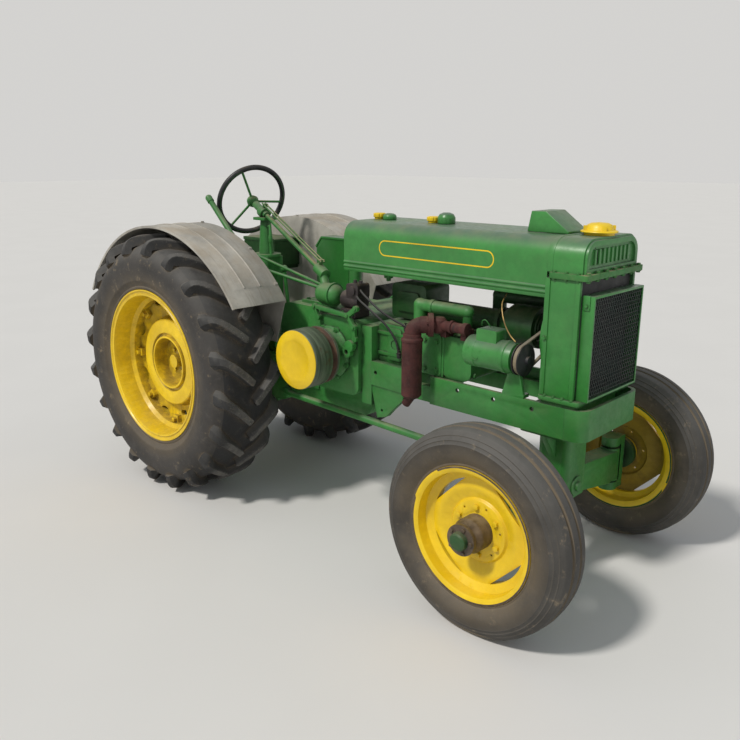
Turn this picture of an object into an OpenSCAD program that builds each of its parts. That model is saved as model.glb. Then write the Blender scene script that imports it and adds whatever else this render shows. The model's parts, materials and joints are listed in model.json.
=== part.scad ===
// Small two-cylinder farm tractor of the 1930s, standard-tread, on rubber tyres.
// The rear axle line is x = 0 while a piece is drawn. Its right side is at -Y, the floor at z = 0.

/* [Layout] */
// Distance between the rear and the front axle lines
wheelbase = 1700; // [1690:5:1740]
// Distance from the rear axle line back to the end of the drawbar
rear_reach = 690; // [680:10:740]

/* [Rear wheels] */
// Radius of a rear tyre out to its lug tips
rear_tyre_r = 567; // [560:1:575]
// Width of a rear tyre across its walls
rear_tyre_w = 320; // [300:2:324]
// Distance from the middle of the tractor to the middle of a rear wheel
rear_track_half = 444; // [444:1:460]
// Height of a tread lug above the tyre's body
lug_h = 24; // [16:1:30]
// Number of lugs on each half of a rear tread
lug_count = 20; // [16:1:22]
// Radius of a rear rim at its flanges
rear_rim_r = 336; // [330:1:340]
// Width of a rear rim between the outer faces of its flanges
rear_rim_w = 278; // [270:1:282]

/* [Front wheels] */
// Radius of a front tyre
front_tyre_r = 338; // [330:1:345]
// Width of a front tyre across its walls
front_tyre_w = 160; // [150:2:164]
// Distance from the middle of the tractor to the middle of a front wheel
front_track_half = 480; // [480:1:490]
// Radius of a front rim at its flanges
front_rim_r = 221; // [217:1:224]
// Width of a front rim between the outer faces of its flanges
front_rim_w = 127; // [120:1:130]

/* [Steering] */
// Distance from the middle of the tractor to a kingpin's axis
kingpin_y = 365; // [362:1:368]
// Radius of a kingpin
kingpin_r = 17; // [15:0.5:18]
// Length of the steering arm, and of the pitman arm that drives it
steer_arm = 200; // [195:1:205]
// Length of the arm that holds the tie rod
tie_arm = 140; // [130:1:150]
// Diameter of the steering wheel over its rim
steering_wheel_d = 340; // [320:5:360]
// Diameter of the steering wheel's rim section
steering_grip_d = 24; // [20:1:28]

/* [Hood and radiator] */
// Width of the hood
hood_w = 350; // [340:2:356]
// Length of the hood, from the radiator back
hood_len = 900; // [890:5:910]
// Height of the hood's bottom edge
hood_bottom_z = 1026; // [1020:1:1034]
// Height of the hood's top
hood_top_z = 1215; // [1205:1:1225]
// Radius of the hood's shoulders
hood_shoulder_r = 62; // [50:1:70]
// Depth of the radiator core, front to back
radiator_d = 122; // [116:1:126]
// Height of the flange under the radiator's top tank
tank_flange_z = 1092; // [1088:1:1096]
// Height of the flange over the radiator's bottom tank
low_flange_z = 698; // [697:1:704]

/* [Frame] */
// Distance from the middle of the tractor to a side rail's outer face
rail_y = 190; // [186:1:194]
// Height of the side rails' bottom edge
rail_z = 582; // [578:1:586]
// Height of the side rails
rail_h = 104; // [100:1:106]
// Thickness of a side rail's wall
rail_t = 14; // [12:1:16]
// Radius of the bolt holes along the side rails
rail_hole_r = 8; // [6:0.5:9]
// Distance between two bolt holes along a side rail
rail_hole_gap = 152; // [148:1:156]

/* [Engine] */
// Distance from the crankshaft forward to the back of the radiator
engine_len = 925; // [915:1:935]
// Height of the crankshaft
crank_z = 703; // [700:1:706]
// Radius of the belt pulley
pulley_r = 116; // [110:1:120]
// Distance from the middle of the tractor to the belt pulley's outer end
pulley_out_y = 412; // [400:2:416]
// Radius of the flywheel
flywheel_r = 185; // [175:1:188]
// Diameter of the upright muffler
muffler_d = 73; // [68:1:78]
// Diameter of the generator
generator_d = 105; // [100:1:108]

/* [Fenders] */
// Radius of a fender's arc
fender_r = 660; // [650:1:668]
// Thickness of the fender sheet
fender_t = 4; // [3:0.5:5]
// Distance from the middle of the tractor to a fender's inner edge
fender_in_y = 268; // [262:1:272]
// Distance from the middle of the tractor to a fender's outer edge
fender_out_y = 532; // [520:2:560]

/* [Hidden] */
$fn = 48;
LEFT = 1;
RIGHT = -1;
rear_axle_z = rear_tyre_r;
front_axle_z = front_tyre_r;
origin_shift = (wheelbase + front_tyre_r - rear_reach) / 2;

tyre_room = 23;
crank_x = rear_tyre_r + flywheel_r + tyre_room;
radiator_x = crank_x + engine_len;
radiator_front_x = radiator_x + radiator_d;
guard_x = radiator_front_x + 42;
rail_front_x = radiator_x + 172;
rail_rear_x = radiator_x - 445;
rail_top_z = rail_z + rail_h;
hood_rear_x = radiator_x - hood_len;

case_y = 150;
case_front_x = crank_x + 202;
plate_y = 205;
block_front_x = case_front_x + 173;
head_front_x = block_front_x + 140;
valve_cover_front_x = head_front_x + 130;
muffler_x = head_front_x - 62;
muffler_y = -262;
case_deck_z = 850;
bulge_y = 225;
pulley_in_y = 284;
post_x = 142;
fan_z = 885;
case_top_z = 704;
platform_z = 706;
run_gap = 0.05;
fender_x = 12;
fender_z = 506;
fender_rear_a = 150;
fender_front_a = 35;
seat_gap = 0.3;

filler_x = [hood_rear_x + 26, hood_rear_x + 300];
axle_half = 36;
axle_pin_z = 352;
axle_pin_r = 18;
kingpin_low_z = 214;
kingpin_top_z = 424;
steer_arm_z = kingpin_top_z + 8;
drag_pin = [wheelbase, -(kingpin_y - steer_arm), steer_arm_z - 16];
pitman_x = crank_x - 295;
pitman_y = 196;
pitman_pin_z = 472;
pitman_axis_z = pitman_pin_z + steer_arm;
tie_z = kingpin_low_z - 12;
block_top_z = 842;

wheel_centre = [12, 0, 1258];
shaft_end = [crank_x - 114.5, -154.1, 996.5];
shaft_len = norm(shaft_end - wheel_centre);
wheel_axis = (shaft_end - wheel_centre) / shaft_len;
shaft_r = 10;
gear_x = crank_x - 85;
rear_shaft_r = 30;
crank_shaft_r = 32;
lug_w = 34;
lug_base_w = 48;
fan_shaft_r = 15;
generator_y = -200;
generator_z = 820;
belt_x = radiator_x - 60;
belt_t = 5;
generator_pulley_r = 44;
fan_pulley_r = 32;

green = [0.16, 0.44, 0.18];
yellow = [0.95, 0.78, 0.05];
rubber = [0.2, 0.2, 0.2];
sheet_grey = [0.5, 0.48, 0.45];
rust = [0.42, 0.26, 0.24];
dark = [0.12, 0.12, 0.13];
steel = [0.45, 0.44, 0.4];

// Puts a piece drawn from the rear axle line into the part's own frame.
module in_frame() {
    translate([-origin_shift, 0, 0]) children();
}

// A round bar from one point to another.
module bar(from, to, r) {
    v = to - from;
    len = norm(v);
    translate(from)
        rotate([0, acos(v[2] / len), atan2(v[1], v[0])])
            cylinder(h = len, r = r);
}

// Turns a piece drawn along +Z so that it points along +X.
module along_x(at) {
    translate(at) rotate([0, 90, 0]) children();
}

// Turns a piece drawn along +Z so that it points out to one side.
module to_side(side, at) {
    translate(at) mirror([0, side > 0 ? 1 : 0, 0]) rotate([90, 0, 0]) children();
}

// Puts a wheel, drawn about Z with its outer face up, on its axle.
module on_axle(side, x, y, z) {
    to_side(side, [x, side * y, z]) children();
}

// A rectangle with round corners, its low corner at the origin.
module round_rect(size, r) {
    translate([r, 0]) square([size[0] - 2 * r, size[1]]);
    translate([0, r]) square([size[0], size[1] - 2 * r]);
    for (x = [r, size[0] - r], y = [r, size[1] - r]) translate([x, y]) circle(r = r);
}

// A box with its four upright edges rounded, given by two corners.
module post_box(low, high, r) {
    translate(low) linear_extrude(high[2] - low[2])
        round_rect([high[0] - low[0], high[1] - low[1]], r);
}

// A box with its four edges along Y rounded, given by two corners.
module side_box(low, high, r) {
    translate([low[0], high[1], low[2]]) rotate([90, 0, 0]) linear_extrude(high[1] - low[1])
        round_rect([high[0] - low[0], high[2] - low[2]], r);
}

// A plain box given by two corners.
module box(low, high) {
    translate(low) cube(high - low);
}

// A plate drawn in X and Z, with its thickness going in from one side.
module side_plate(side, y, t) {
    translate([0, side * y, 0]) rotate([90, 0, 0])
        translate([0, 0, side > 0 ? 0 : -t]) linear_extrude(t) children();
}

// The hood's section, drawn with X across and Y up, with its walls moved in by one distance.
module hood_section(inset, bottom) {
    half = hood_w / 2 - inset;
    r = hood_shoulder_r - inset;
    top = hood_top_z - inset;
    translate([-half, bottom]) square([2 * half, top - r - bottom]);
    translate([-half + r, bottom]) square([2 * (half - r), top - bottom]);
    for (side = [LEFT, RIGHT]) intersection() {
        translate([side * (half - r), top - r]) circle(r = r);
        translate([-half, top - r - 1]) square([2 * half, r + 2]);
    }
}

// Stands a section drawn across and up on its end and runs it forward.
module run_forward(from_x, to_x) {
    translate([from_x, 0, 0]) rotate([90, 0, 90]) linear_extrude(to_x - from_x) children();
}

module main_case() {
    color(green) in_frame() difference() {
        union() {
            side_box([-165, -case_y, 400], [420, case_y, case_top_z], 50);
            side_box([380, -case_y, 440], [case_front_x - 47, case_y, case_deck_z], 60);
            side_box([crank_x - 135, -bulge_y, 545], [crank_x + 150, bulge_y, case_deck_z], 40);
            box([case_front_x - 51, -plate_y, 520], [case_front_x, plate_y, 830]);
            to_side(RIGHT, [pitman_x, -case_y + 1, pitman_axis_z]) cylinder(h = 30, r = 30);
            for (z = [470, 600]) side_box([-120, -case_y - 9, z], [340, case_y + 9, z + 16], 5);
            side_box([460, -case_y - 9, 500], [crank_x - 150, case_y + 9, 516], 5);
            box([-179, -105, 440], [-160, 105, 650]);
            box([470, -105, case_deck_z - 1], [crank_x - 160, 105, case_deck_z + 12]);
            along_x([-250, 0, 560]) cylinder(h = 90, r = 17);
            along_x([-200, 0, 560]) cylinder(h = 30, r = 42);
            for (p = [[40, 392], [560, 432]]) translate([p[0], 0, p[1]]) cylinder(h = 20, r = 20);
        }
        to_side(RIGHT, [pitman_x, -case_y + 2, pitman_axis_z]) cylinder(h = 40, r = 14 + run_gap);
        to_side(RIGHT, [crank_x, 300, crank_z]) cylinder(h = 600, r = crank_shaft_r + 4);
        for (side = [LEFT, RIGHT])
            to_side(side, [0, side * 100, rear_axle_z]) cylinder(h = 80, r = rear_shaft_r + 4);
    }
}

module axle_housings() {
    color(green) in_frame() for (side = [LEFT, RIGHT])
        to_side(side, [0, side * case_y, rear_axle_z]) difference() {
            union() {
                cylinder(h = 22, r = 118);
                translate([0, 0, 21]) cylinder(h = 30, r1 = 96, r2 = 74);
                cylinder(h = 95, r = 74);
                translate([0, 0, 94]) cylinder(h = 8, r = 84);
                translate([0, 0, 95]) cylinder(h = 25, r = 62);
                for (i = [0 : 5]) rotate(60 * i + 30) translate([60, -6, 20]) cube([40, 12, 52]);
            }
            translate([0, 0, -1]) cylinder(h = 200, r = rear_shaft_r + run_gap);
            for (z = [470, 600]) translate([-400, z - rear_axle_z - 1, -1]) cube([800, 18, 11]);
        }
}

module cylinder_block() {
    mid = (case_front_x + block_front_x) / 2;
    color(green) in_frame() difference() {
        union() {
            side_box([case_front_x, -166, 692], [block_front_x, 166, block_top_z], 20);
            side_box([block_front_x, -175, 688], [head_front_x, 175, block_top_z], 16);
            for (z = [722, 802]) box([case_front_x, -174, z], [block_front_x, 174, z + 12]);
            side_box([mid - 34, -172, 706], [mid + 34, 172, block_top_z - 12], 12);
        }
        for (side = [LEFT, RIGHT])
            to_side(side, [mid, side * 168, 768]) cylinder(h = 10, r = 18);
    }
}

module valve_cover() {
    color(green) in_frame() {
        box([head_front_x, -173, 686], [head_front_x + 10, 173, block_top_z]);
        side_box([head_front_x, -170, 688], [valve_cover_front_x, 170, block_top_z], 34);
        for (y = [-95, 95], z = [765])
            along_x([valve_cover_front_x - 3, y, z]) cylinder(h = 10, r = 14);
    }
}

module pulley_housing() {
    color(green) in_frame() to_side(RIGHT, [crank_x, -bulge_y, crank_z]) difference() {
        union() {
            rotate_extrude() polygon([
                [0, 0],
                [105, 0],
                [105, 8],
                [96, 12],
                [88, 30],
                [92, 34],
                [92, 46],
                [84, 52],
                [0, 52]
            ]);
            for (i = [0 : 7]) rotate(45 * i + 22.5) translate([96, 0, 0]) cylinder(h = 10, r = 16);
        }
        translate([0, 0, -1]) cylinder(h = 60, r = crank_shaft_r + run_gap);
    }
}

module frame_rails() {
    front = rail_front_x;
    hole_mid_x = radiator_x - 170;
    color(green) in_frame() difference() {
        union() {
            translate([rail_rear_x, -rail_y, rail_z]) linear_extrude(rail_h) difference() {
                translate([-60, 0]) round_rect([front - rail_rear_x + 60, 2 * rail_y], 42);
                translate([-61, rail_t])
                    round_rect([front - rail_rear_x + 61 - rail_t, 2 * (rail_y - rail_t)], 30);
                translate([-61, -1]) square([61, 2 * rail_y + 2]);
            }
            for (side = [LEFT, RIGHT]) {
                low_y = side > 0 ? rail_y - rail_t - 26 : -rail_y + rail_t;
                box([case_front_x, low_y, rail_z], [front - 70, low_y + 26, rail_z + 60]);
            }
        }
        box([front - 70, -rail_y - 1, rail_z - 1], [front - 70 + seat_gap, rail_y + 1, rail_z + rail_h + 1]);
        for (side = [LEFT, RIGHT], i = [-1 : 1])
            to_side(side, [hole_mid_x + i * rail_hole_gap, side * (rail_y - rail_t - 30), rail_z + 76])
                cylinder(h = 60, r = rail_hole_r);
    }
}

module rail_brackets() {
    start = case_front_x;
    color(green) in_frame() for (side = [LEFT, RIGHT]) {
        side_plate(side, rail_y + 12, 26) difference() {
            polygon([
                [start, 697],
                [start + 158, 695],
                [start + 158, 571],
                [start + 102, 518],
                [start + 73, 486],
                [start + 28, 474],
                [start, 580]
            ]);
            translate([start + 23, 655]) circle(r = rail_hole_r);
            translate([start + 52, 508]) circle(r = 6);
        }
        side_plate(side, rail_y + 18, 8) difference() {
            polygon([
                [start, 697],
                [start + 158, 695],
                [start + 158, 600],
                [start, 604]
            ]);
            translate([start + 23, 655]) circle(r = rail_hole_r);
        }
    }
}

module front_bolster() {
    side_y = rail_y - rail_t - 26;
    color(green) in_frame() difference() {
        union() {
            post_box([wheelbase - 90, -side_y, 560], [wheelbase + 90, side_y, 640], 20);
            post_box([wheelbase - 60, -70, 310], [wheelbase + 60, 70, 561], 22);
            for (side = [LEFT, RIGHT]) translate([wheelbase, 0, 0]) rotate([90, 0, 90])
                translate([0, 0, -12]) linear_extrude(24) polygon([
                    [side * 60, 561],
                    [side * (side_y - 10), 561],
                    [side * 60, 450]
                ]);
            along_x([wheelbase - 66, 0, axle_pin_z]) cylinder(h = 132, r = 36);
        }
        box([wheelbase - axle_half - 0.3, -80, 300], [wheelbase + axle_half + 0.3, 80, 404]);
    }
    color(green) in_frame() along_x([wheelbase - 76, 0, axle_pin_z]) cylinder(h = 152, r = axle_pin_r);
}

module front_axle() {
    color(green) in_frame() difference() {
        union() {
            for (side = [LEFT, RIGHT]) {
                side_sign = side;
                translate([wheelbase, 0, 0]) rotate([90, 0, 90])
                    translate([0, 0, -axle_half]) linear_extrude(2 * axle_half) polygon([
                        [0, 398],
                        [side_sign * 75, 398],
                        [side_sign * (kingpin_y - 8), 372],
                        [side_sign * (kingpin_y - 8), 262],
                        [side_sign * 300, 258],
                        [side_sign * 75, 300],
                        [0, 300]
                    ]);
                translate([wheelbase, side * kingpin_y, 252]) cylinder(h = 130, r = 36);
            }
        }
        for (side = [LEFT, RIGHT])
            translate([wheelbase, side * kingpin_y, 200]) cylinder(h = 250, r = kingpin_r + run_gap);
        along_x([wheelbase - 80, 0, axle_pin_z]) cylinder(h = 200, r = axle_pin_r + run_gap);
    }
}

module knuckle(side) {
    ear_t = 26;
    color(green) in_frame() {
        translate([wheelbase, side * kingpin_y, 0]) {
            translate([0, 0, kingpin_low_z]) cylinder(h = kingpin_top_z - kingpin_low_z, r = kingpin_r);
            translate([0, 0, kingpin_low_z]) cylinder(h = ear_t + 5, r = 34);
            translate([0, 0, kingpin_top_z - ear_t - 8]) cylinder(h = ear_t + 8, r = 34);
        }
        difference() {
            box([wheelbase - 30, side > 0 ? kingpin_y : -kingpin_y - 58, kingpin_low_z],
                [wheelbase + 30, side > 0 ? kingpin_y + 58 : -kingpin_y, kingpin_top_z]);
            translate([wheelbase, side * kingpin_y, kingpin_low_z + ear_t + 5])
                cylinder(h = kingpin_top_z - kingpin_low_z - 2 * ear_t - 13, r = 42);
        }
        to_side(side, [wheelbase, side * (kingpin_y + 50), front_axle_z])
            cylinder(h = front_track_half + 90 - kingpin_y - 50, r = 24);
        translate([wheelbase - tie_arm, side * kingpin_y, kingpin_low_z]) cylinder(h = 20, r = 22);
        box([wheelbase - tie_arm, side * kingpin_y - 16, kingpin_low_z],
            [wheelbase, side * kingpin_y + 16, kingpin_low_z + 20]);
        translate([wheelbase - tie_arm, side * kingpin_y, kingpin_low_z - 24]) cylinder(h = 25, r = 9);
    }
}

module knuckle_left() {
    knuckle(LEFT);
}

module knuckle_right() {
    knuckle(RIGHT);
    color(green) in_frame() {
        box([wheelbase - 18, -kingpin_y, steer_arm_z], [wheelbase + 18, drag_pin[1], steer_arm_z + 18]);
        translate([drag_pin[0], drag_pin[1], steer_arm_z]) cylinder(h = 18, r = 24);
        translate([drag_pin[0], drag_pin[1], drag_pin[2] - 20]) cylinder(h = 40, r = 9);
        translate([wheelbase, -kingpin_y, kingpin_top_z - 1]) cylinder(h = 27, r = 30);
    }
}

module tie_rod() {
    color(green) in_frame() difference() {
        union() {
            bar([wheelbase - tie_arm, -kingpin_y + 12, tie_z], [wheelbase - tie_arm, kingpin_y - 12, tie_z], 9.5);
            for (side = [LEFT, RIGHT])
                translate([wheelbase - tie_arm, side * kingpin_y, tie_z - 11]) cylinder(h = 22, r = 20);
        }
        for (side = [LEFT, RIGHT])
            translate([wheelbase - tie_arm, side * kingpin_y, tie_z - 40]) cylinder(h = 80, r = 9 + run_gap);
    }
}

module drag_link() {
    rear = [pitman_x, -pitman_y - 20, pitman_pin_z];
    front = drag_pin;
    color(green) in_frame() difference() {
        union() {
            bar(rear, front, 14);
            translate([front[0], front[1], front[2] - 15]) cylinder(h = 30, r = 22);
            to_side(RIGHT, [rear[0], -pitman_y - 8, rear[2]]) cylinder(h = 24, r = 22);
        }
        translate([front[0], front[1], front[2] - 60]) cylinder(h = 120, r = 9 + run_gap);
    }
}

module pitman_arm() {
    color(green) in_frame() {
        to_side(RIGHT, [pitman_x, -case_y, pitman_axis_z]) cylinder(h = pitman_y - case_y, r = 14);
        to_side(RIGHT, [pitman_x, -pitman_y + 14, pitman_axis_z]) cylinder(h = 18, r = 28);
        to_side(RIGHT, [pitman_x, -pitman_y + 14, pitman_pin_z]) cylinder(h = 18, r = 22);
        box([pitman_x - 15, -pitman_y - 4, pitman_pin_z], [pitman_x + 15, -pitman_y + 14, pitman_axis_z]);
    }
}

module front_wheel(side) {
    f = front_rim_r;
    w = front_rim_w / 2;
    disc_r = f - 44;
    chord = f - 68;
    color(yellow) in_frame() on_axle(side, wheelbase, front_track_half, front_axle_z) {
        rotate_extrude() polygon([
            [f, w],
            [f - 6, w],
            [f - 20, w - 6],
            [f - 24, 22],
            [f - 50, 12],
            [f - 50, -14],
            [f - 30, -20],
            [f - 26, -w + 6],
            [f - 6, -w],
            [f, -w],
            [f, -w + 5],
            [f - 17, -w + 10],
            [f - 21, -24],
            [f - 42, -15],
            [f - 42, 15],
            [f - 21, 24],
            [f - 17, w - 10],
            [f, w - 5]
        ]);
        difference() {
            rotate_extrude() polygon([
                [disc_r, 10],
                [150, 18],
                [134, 16],
                [106, 2],
                [99, 10],
                [50, 10],
                [50, 0],
                [96, 0],
                [102, -8],
                [136, 6],
                [150, 8],
                [disc_r, 0]
            ]);
            for (i = [0 : 3]) rotate([0, 0, 45 + 90 * i]) translate([chord, -90, -30]) cube([60, 180, 60]);
            for (i = [0 : 5]) rotate([0, 0, 60 * i + 10]) translate([83, 0, -10]) cylinder(h = 40, r = 4);
        }
        for (i = [0 : 5]) rotate([0, 0, 60 * i + 35]) translate([79, 0, 9]) cylinder(h = 11, r = 10, $fn = 6);
        difference() {
            rotate_extrude() polygon([
                [0, -42],
                [63, -42],
                [63, -20],
                [56, -14],
                [56, 58],
                [46, 80],
                [46, 88],
                [50, 90],
                [50, 99],
                [30, 101],
                [28, 116],
                [22, 120],
                [0, 120]
            ]);
            translate([0, 0, -43]) cylinder(h = 134, r = 24 + run_gap);
        }
        for (i = [0 : 4]) rotate([0, 0, 72 * i]) translate([40, 0, 98]) cylinder(h = 8, r = 7, $fn = 6);
    }
}

module front_wheel_left() {
    front_wheel(LEFT);
}

module front_wheel_right() {
    front_wheel(RIGHT);
}

module front_tyre(side) {
    w = front_tyre_w / 2;
    r = front_tyre_r;
    f = front_rim_r;
    rw = front_rim_w / 2 - 5;
    color(rubber) in_frame() on_axle(side, wheelbase, front_track_half, front_axle_z)
        rotate_extrude($fn = 40) polygon([
            [f - 17 + 0.3, rw - 5.5],
            [f + 2, rw - 0.5],
            [f + 55, w],
            [r - 28, w - 8],
            [r - 7, 54],
            [r - 2, 27],
            [r - 12, 23],
            [r - 12, 15],
            [r, 11],
            [r, -11],
            [r - 12, -15],
            [r - 12, -23],
            [r - 2, -27],
            [r - 7, -54],
            [r - 28, -w + 8],
            [f + 55, -w],
            [f + 2, -rw + 0.5],
            [f - 17 + 0.3, -rw + 5.5],
            [f - 17 + 0.3, -rw + 15],
            [f + 55, -w + 12],
            [r - 24, -40],
            [r - 24, 40],
            [f + 55, w - 12],
            [f - 17 + 0.3, rw - 15]
        ]);
}

module front_tyre_left() {
    front_tyre(LEFT);
}

module front_tyre_right() {
    front_tyre(RIGHT);
}

module rear_wheel(side) {
    f = rear_rim_r;
    w = rear_rim_w / 2;
    disc_r = f - 44;
    clamp_count = 8;
    color(yellow) in_frame() on_axle(side, 0, rear_track_half, rear_axle_z) {
        rotate_extrude() polygon([
            [f, w],
            [f - 6, w],
            [f - 9, w - 4.5],
            [f - 17, w - 6],
            [f - 20, w - 2],
            [f - 26, w - 3],
            [f - 36, 60],
            [f - 52, 46],
            [f - 52, -46],
            [f - 36, -60],
            [f - 32, -w + 6],
            [f - 6, -w],
            [f, -w],
            [f, -w + 6],
            [f - 26, -w + 12],
            [f - 30, -56],
            [f - 44, -44],
            [f - 44, 44],
            [f - 30, 56],
            [f - 26, w - 12],
            [f, w - 6]
        ]);
        difference() {
            rotate_extrude() polygon([
                [disc_r, 10],
                [206, 6],
                [194, 40],
                [188, 44],
                [134, 44],
                [130, 34],
                [120, 34],
                [118, 48],
                [110, 48],
                [106, -14],
                [30, -14],
                [30, -30],
                [118, -30],
                [122, 22],
                [184, 30],
                [196, -8],
                [disc_r, -8]
            ]);
            for (i = [0 : clamp_count - 1]) rotate([0, 0, 360 / clamp_count * (i + 0.5)])
                translate([f - 36, 0, -20]) cylinder(h = 40, r = 40);
            for (a = [100, 280]) rotate([0, 0, a]) {
                for (y = [-11, 11]) translate([238, y, -20]) cylinder(h = 40, r = 12);
                translate([226, -11, -20]) cube([24, 22, 40]);
            }
        }
        for (i = [0 : clamp_count - 1]) rotate([0, 0, 360 / clamp_count * i]) {
            translate([f - 84, -17, 2]) cube([34, 34, 26]);
            translate([f - 66, 0, 27]) cylinder(h = 16, r = 11, $fn = 6);
        }
        for (i = [0 : 5]) rotate([0, 0, 60 * i]) translate([52, 0, -15]) cylinder(h = 14, r = 9, $fn = 6);
        translate([0, 0, -rear_track_half + 105]) cylinder(h = rear_track_half - 105 + 20, r = rear_shaft_r);
        translate([0, 0, -70]) cylinder(h = 60, r = 70);
    }
}

module rear_wheel_left() {
    rear_wheel(LEFT);
}

module rear_wheel_right() {
    rear_wheel(RIGHT);
}

module rear_tyre(side) {
    w = rear_tyre_w / 2;
    r = rear_tyre_r;
    body_r = rear_tyre_r - lug_h;
    f = rear_rim_r;
    rw = rear_rim_w / 2 - 6;
    color(rubber) in_frame() on_axle(side, 0, rear_track_half, rear_axle_z) {
        rotate_extrude() polygon([
            [f - 26 + 0.3, rw - 6.5],
            [f + 2, rw - 0.5],
            [f + 100, w],
            [body_r - 50, w - 10],
            [body_r - 12, w - 42],
            [body_r, 50],
            [body_r, -50],
            [body_r - 12, -w + 42],
            [body_r - 50, -w + 10],
            [f + 100, -w],
            [f + 2, -rw + 0.5],
            [f - 26 + 0.3, -rw + 6.5],
            [f - 26 + 0.3, -rw + 22],
            [f + 100, -w + 18],
            [body_r - 36, -w + 44],
            [body_r - 36, w - 44],
            [f + 100, w - 18],
            [f - 26 + 0.3, rw - 22]
        ]);
        intersection() {
            rotate_extrude() polygon([
                [r, 84],
                [r - 10, 122],
                [r - 34, w - 12],
                [r - 88, w - 1],
                [r - 88, w - 22],
                [body_r - 28, w - 50],
                [body_r - 20, 0],
                [body_r - 28, -w + 50],
                [r - 88, -w + 22],
                [r - 88, -w + 1],
                [r - 34, -w + 12],
                [r - 10, -122],
                [r, -84]
            ]);
            for (half = [-1, 1], i = [0 : lug_count - 1])
                rotate([0, 0, 360 / lug_count * (i + (half > 0 ? 0 : 0.5))])
                    translate([r, 0, 0]) rotate([-half * 45, 0, 0])
                        translate([0, 0, half > 0 ? 4 : -240]) linear_extrude(236) polygon([
                            [8, -lug_w / 2],
                            [-96, -lug_base_w / 2 - 4],
                            [-96, lug_base_w / 2 + 4],
                            [8, lug_w / 2]
                        ]);
        }
    }
}

module rear_tyre_left() {
    rear_tyre(LEFT);
}

module rear_tyre_right() {
    rear_tyre(RIGHT);
}

module belt_pulley() {
    width = pulley_out_y - pulley_in_y;
    color(steel) in_frame() to_side(RIGHT, [crank_x, 0, crank_z]) {
        translate([0, 0, pulley_in_y]) rotate_extrude() polygon([
            [crank_shaft_r - 1, 0],
            [pulley_r - 6, 0],
            [pulley_r - 3, 3],
            [pulley_r - 3, 15],
            [pulley_r - 12, 19],
            [pulley_r - 12, 36],
            [pulley_r - 2, 40],
            [pulley_r, 44],
            [pulley_r, width - 4],
            [pulley_r - 3, width],
            [pulley_r - 12, width],
            [pulley_r - 18, 46],
            [crank_shaft_r - 1, 46]
        ]);
        translate([0, 0, -336]) cylinder(h = 336 + pulley_in_y + 80, r = crank_shaft_r);
    }
}

module pulley_cover() {
    color(yellow) in_frame() to_side(RIGHT, [crank_x, -pulley_out_y, crank_z])
        rotate_extrude() polygon([
            [0, 0],
            [pulley_r - 2, 0],
            [pulley_r - 2, 3],
            [pulley_r - 22, 6],
            [pulley_r - 40, 6],
            [pulley_r - 46, 3],
            [0, 3]
        ]);
}

module flywheel() {
    color(green) in_frame() to_side(LEFT, [crank_x, 0, crank_z]) difference() {
        translate([0, 0, 240]) rotate_extrude() polygon([
            [crank_shaft_r + run_gap, 0],
            [flywheel_r - 8, 0],
            [flywheel_r, 8],
            [flywheel_r, 88],
            [flywheel_r - 8, 96],
            [flywheel_r - 34, 96],
            [flywheel_r - 44, 58],
            [80, 52],
            [64, 92],
            [crank_shaft_r + run_gap, 92]
        ]);
        for (i = [0 : 2]) rotate([0, 0, 120 * i + 30]) translate([111, 0, 270]) cylinder(h = 60, r = 17);
    }
}

module fan() {
    color(dark) in_frame() {
        along_x([belt_x - 130, 0, fan_z]) cylinder(h = 170, r = fan_shaft_r);
        along_x([belt_x - 4, 0, fan_z]) cylinder(h = 20, r = fan_pulley_r);
        along_x([belt_x - 6, 0, fan_z]) cylinder(h = 4, r = fan_pulley_r + 8);
        along_x([belt_x + 13.5, 0, fan_z]) cylinder(h = 4, r = fan_pulley_r + 8);
        along_x([belt_x + 16, 0, fan_z]) cylinder(h = 34, r = 26);
        for (i = [0 : 3])
            translate([belt_x + 36, 0, fan_z]) rotate([i * 90, 0, 0]) {
                rotate([0, 0, 30]) box([-24, -1.5, 50], [24, 1.5, 140]);
                rotate([0, 0, 30]) box([-12, -2, 20], [12, 2, 60]);
            }
    }
}

module fan_shroud() {
    ring_r = 148;
    color(green) in_frame() difference() {
        union() {
            box([radiator_x, -hood_w / 2 + 6, low_flange_z + 14], [radiator_x + 12, hood_w / 2 - 6, tank_flange_z]);
            along_x([radiator_x - 26, 0, fan_z]) cylinder(h = 38, r = ring_r + 4);
        }
        along_x([radiator_x - 30, 0, fan_z]) cylinder(h = 50, r = ring_r);
    }
}

module fan_housing() {
    color(dark) in_frame() {
        difference() {
            union() {
                along_x([block_front_x - 60, 0, fan_z]) cylinder(h = belt_x - 40 - block_front_x + 60, r = 42);
                along_x([belt_x - 200, 0, fan_z]) cylinder(h = 40, r1 = 42, r2 = 72);
                along_x([belt_x - 160, 0, fan_z]) cylinder(h = 110, r = 72);
                for (x = [valve_cover_front_x + 2, belt_x - 60])
                    along_x([x, 0, fan_z]) cylinder(h = 16, r = 52);
            }
            along_x([belt_x - 140, 0, fan_z]) cylinder(h = 150, r = fan_shaft_r + run_gap);
        }
        side_box([case_front_x - 17, -70, 850], [block_front_x - 20, 70, 985], 20);
        side_box([case_front_x + 13, -79, 880], [block_front_x - 50, 79, 955], 14);
    }
}

module radiator_core() {
    color(dark) in_frame()
        box([radiator_x + 12, -hood_w / 2 + 6, low_flange_z + 14],
            [radiator_front_x - 10, hood_w / 2 - 6, tank_flange_z]);
}

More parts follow.
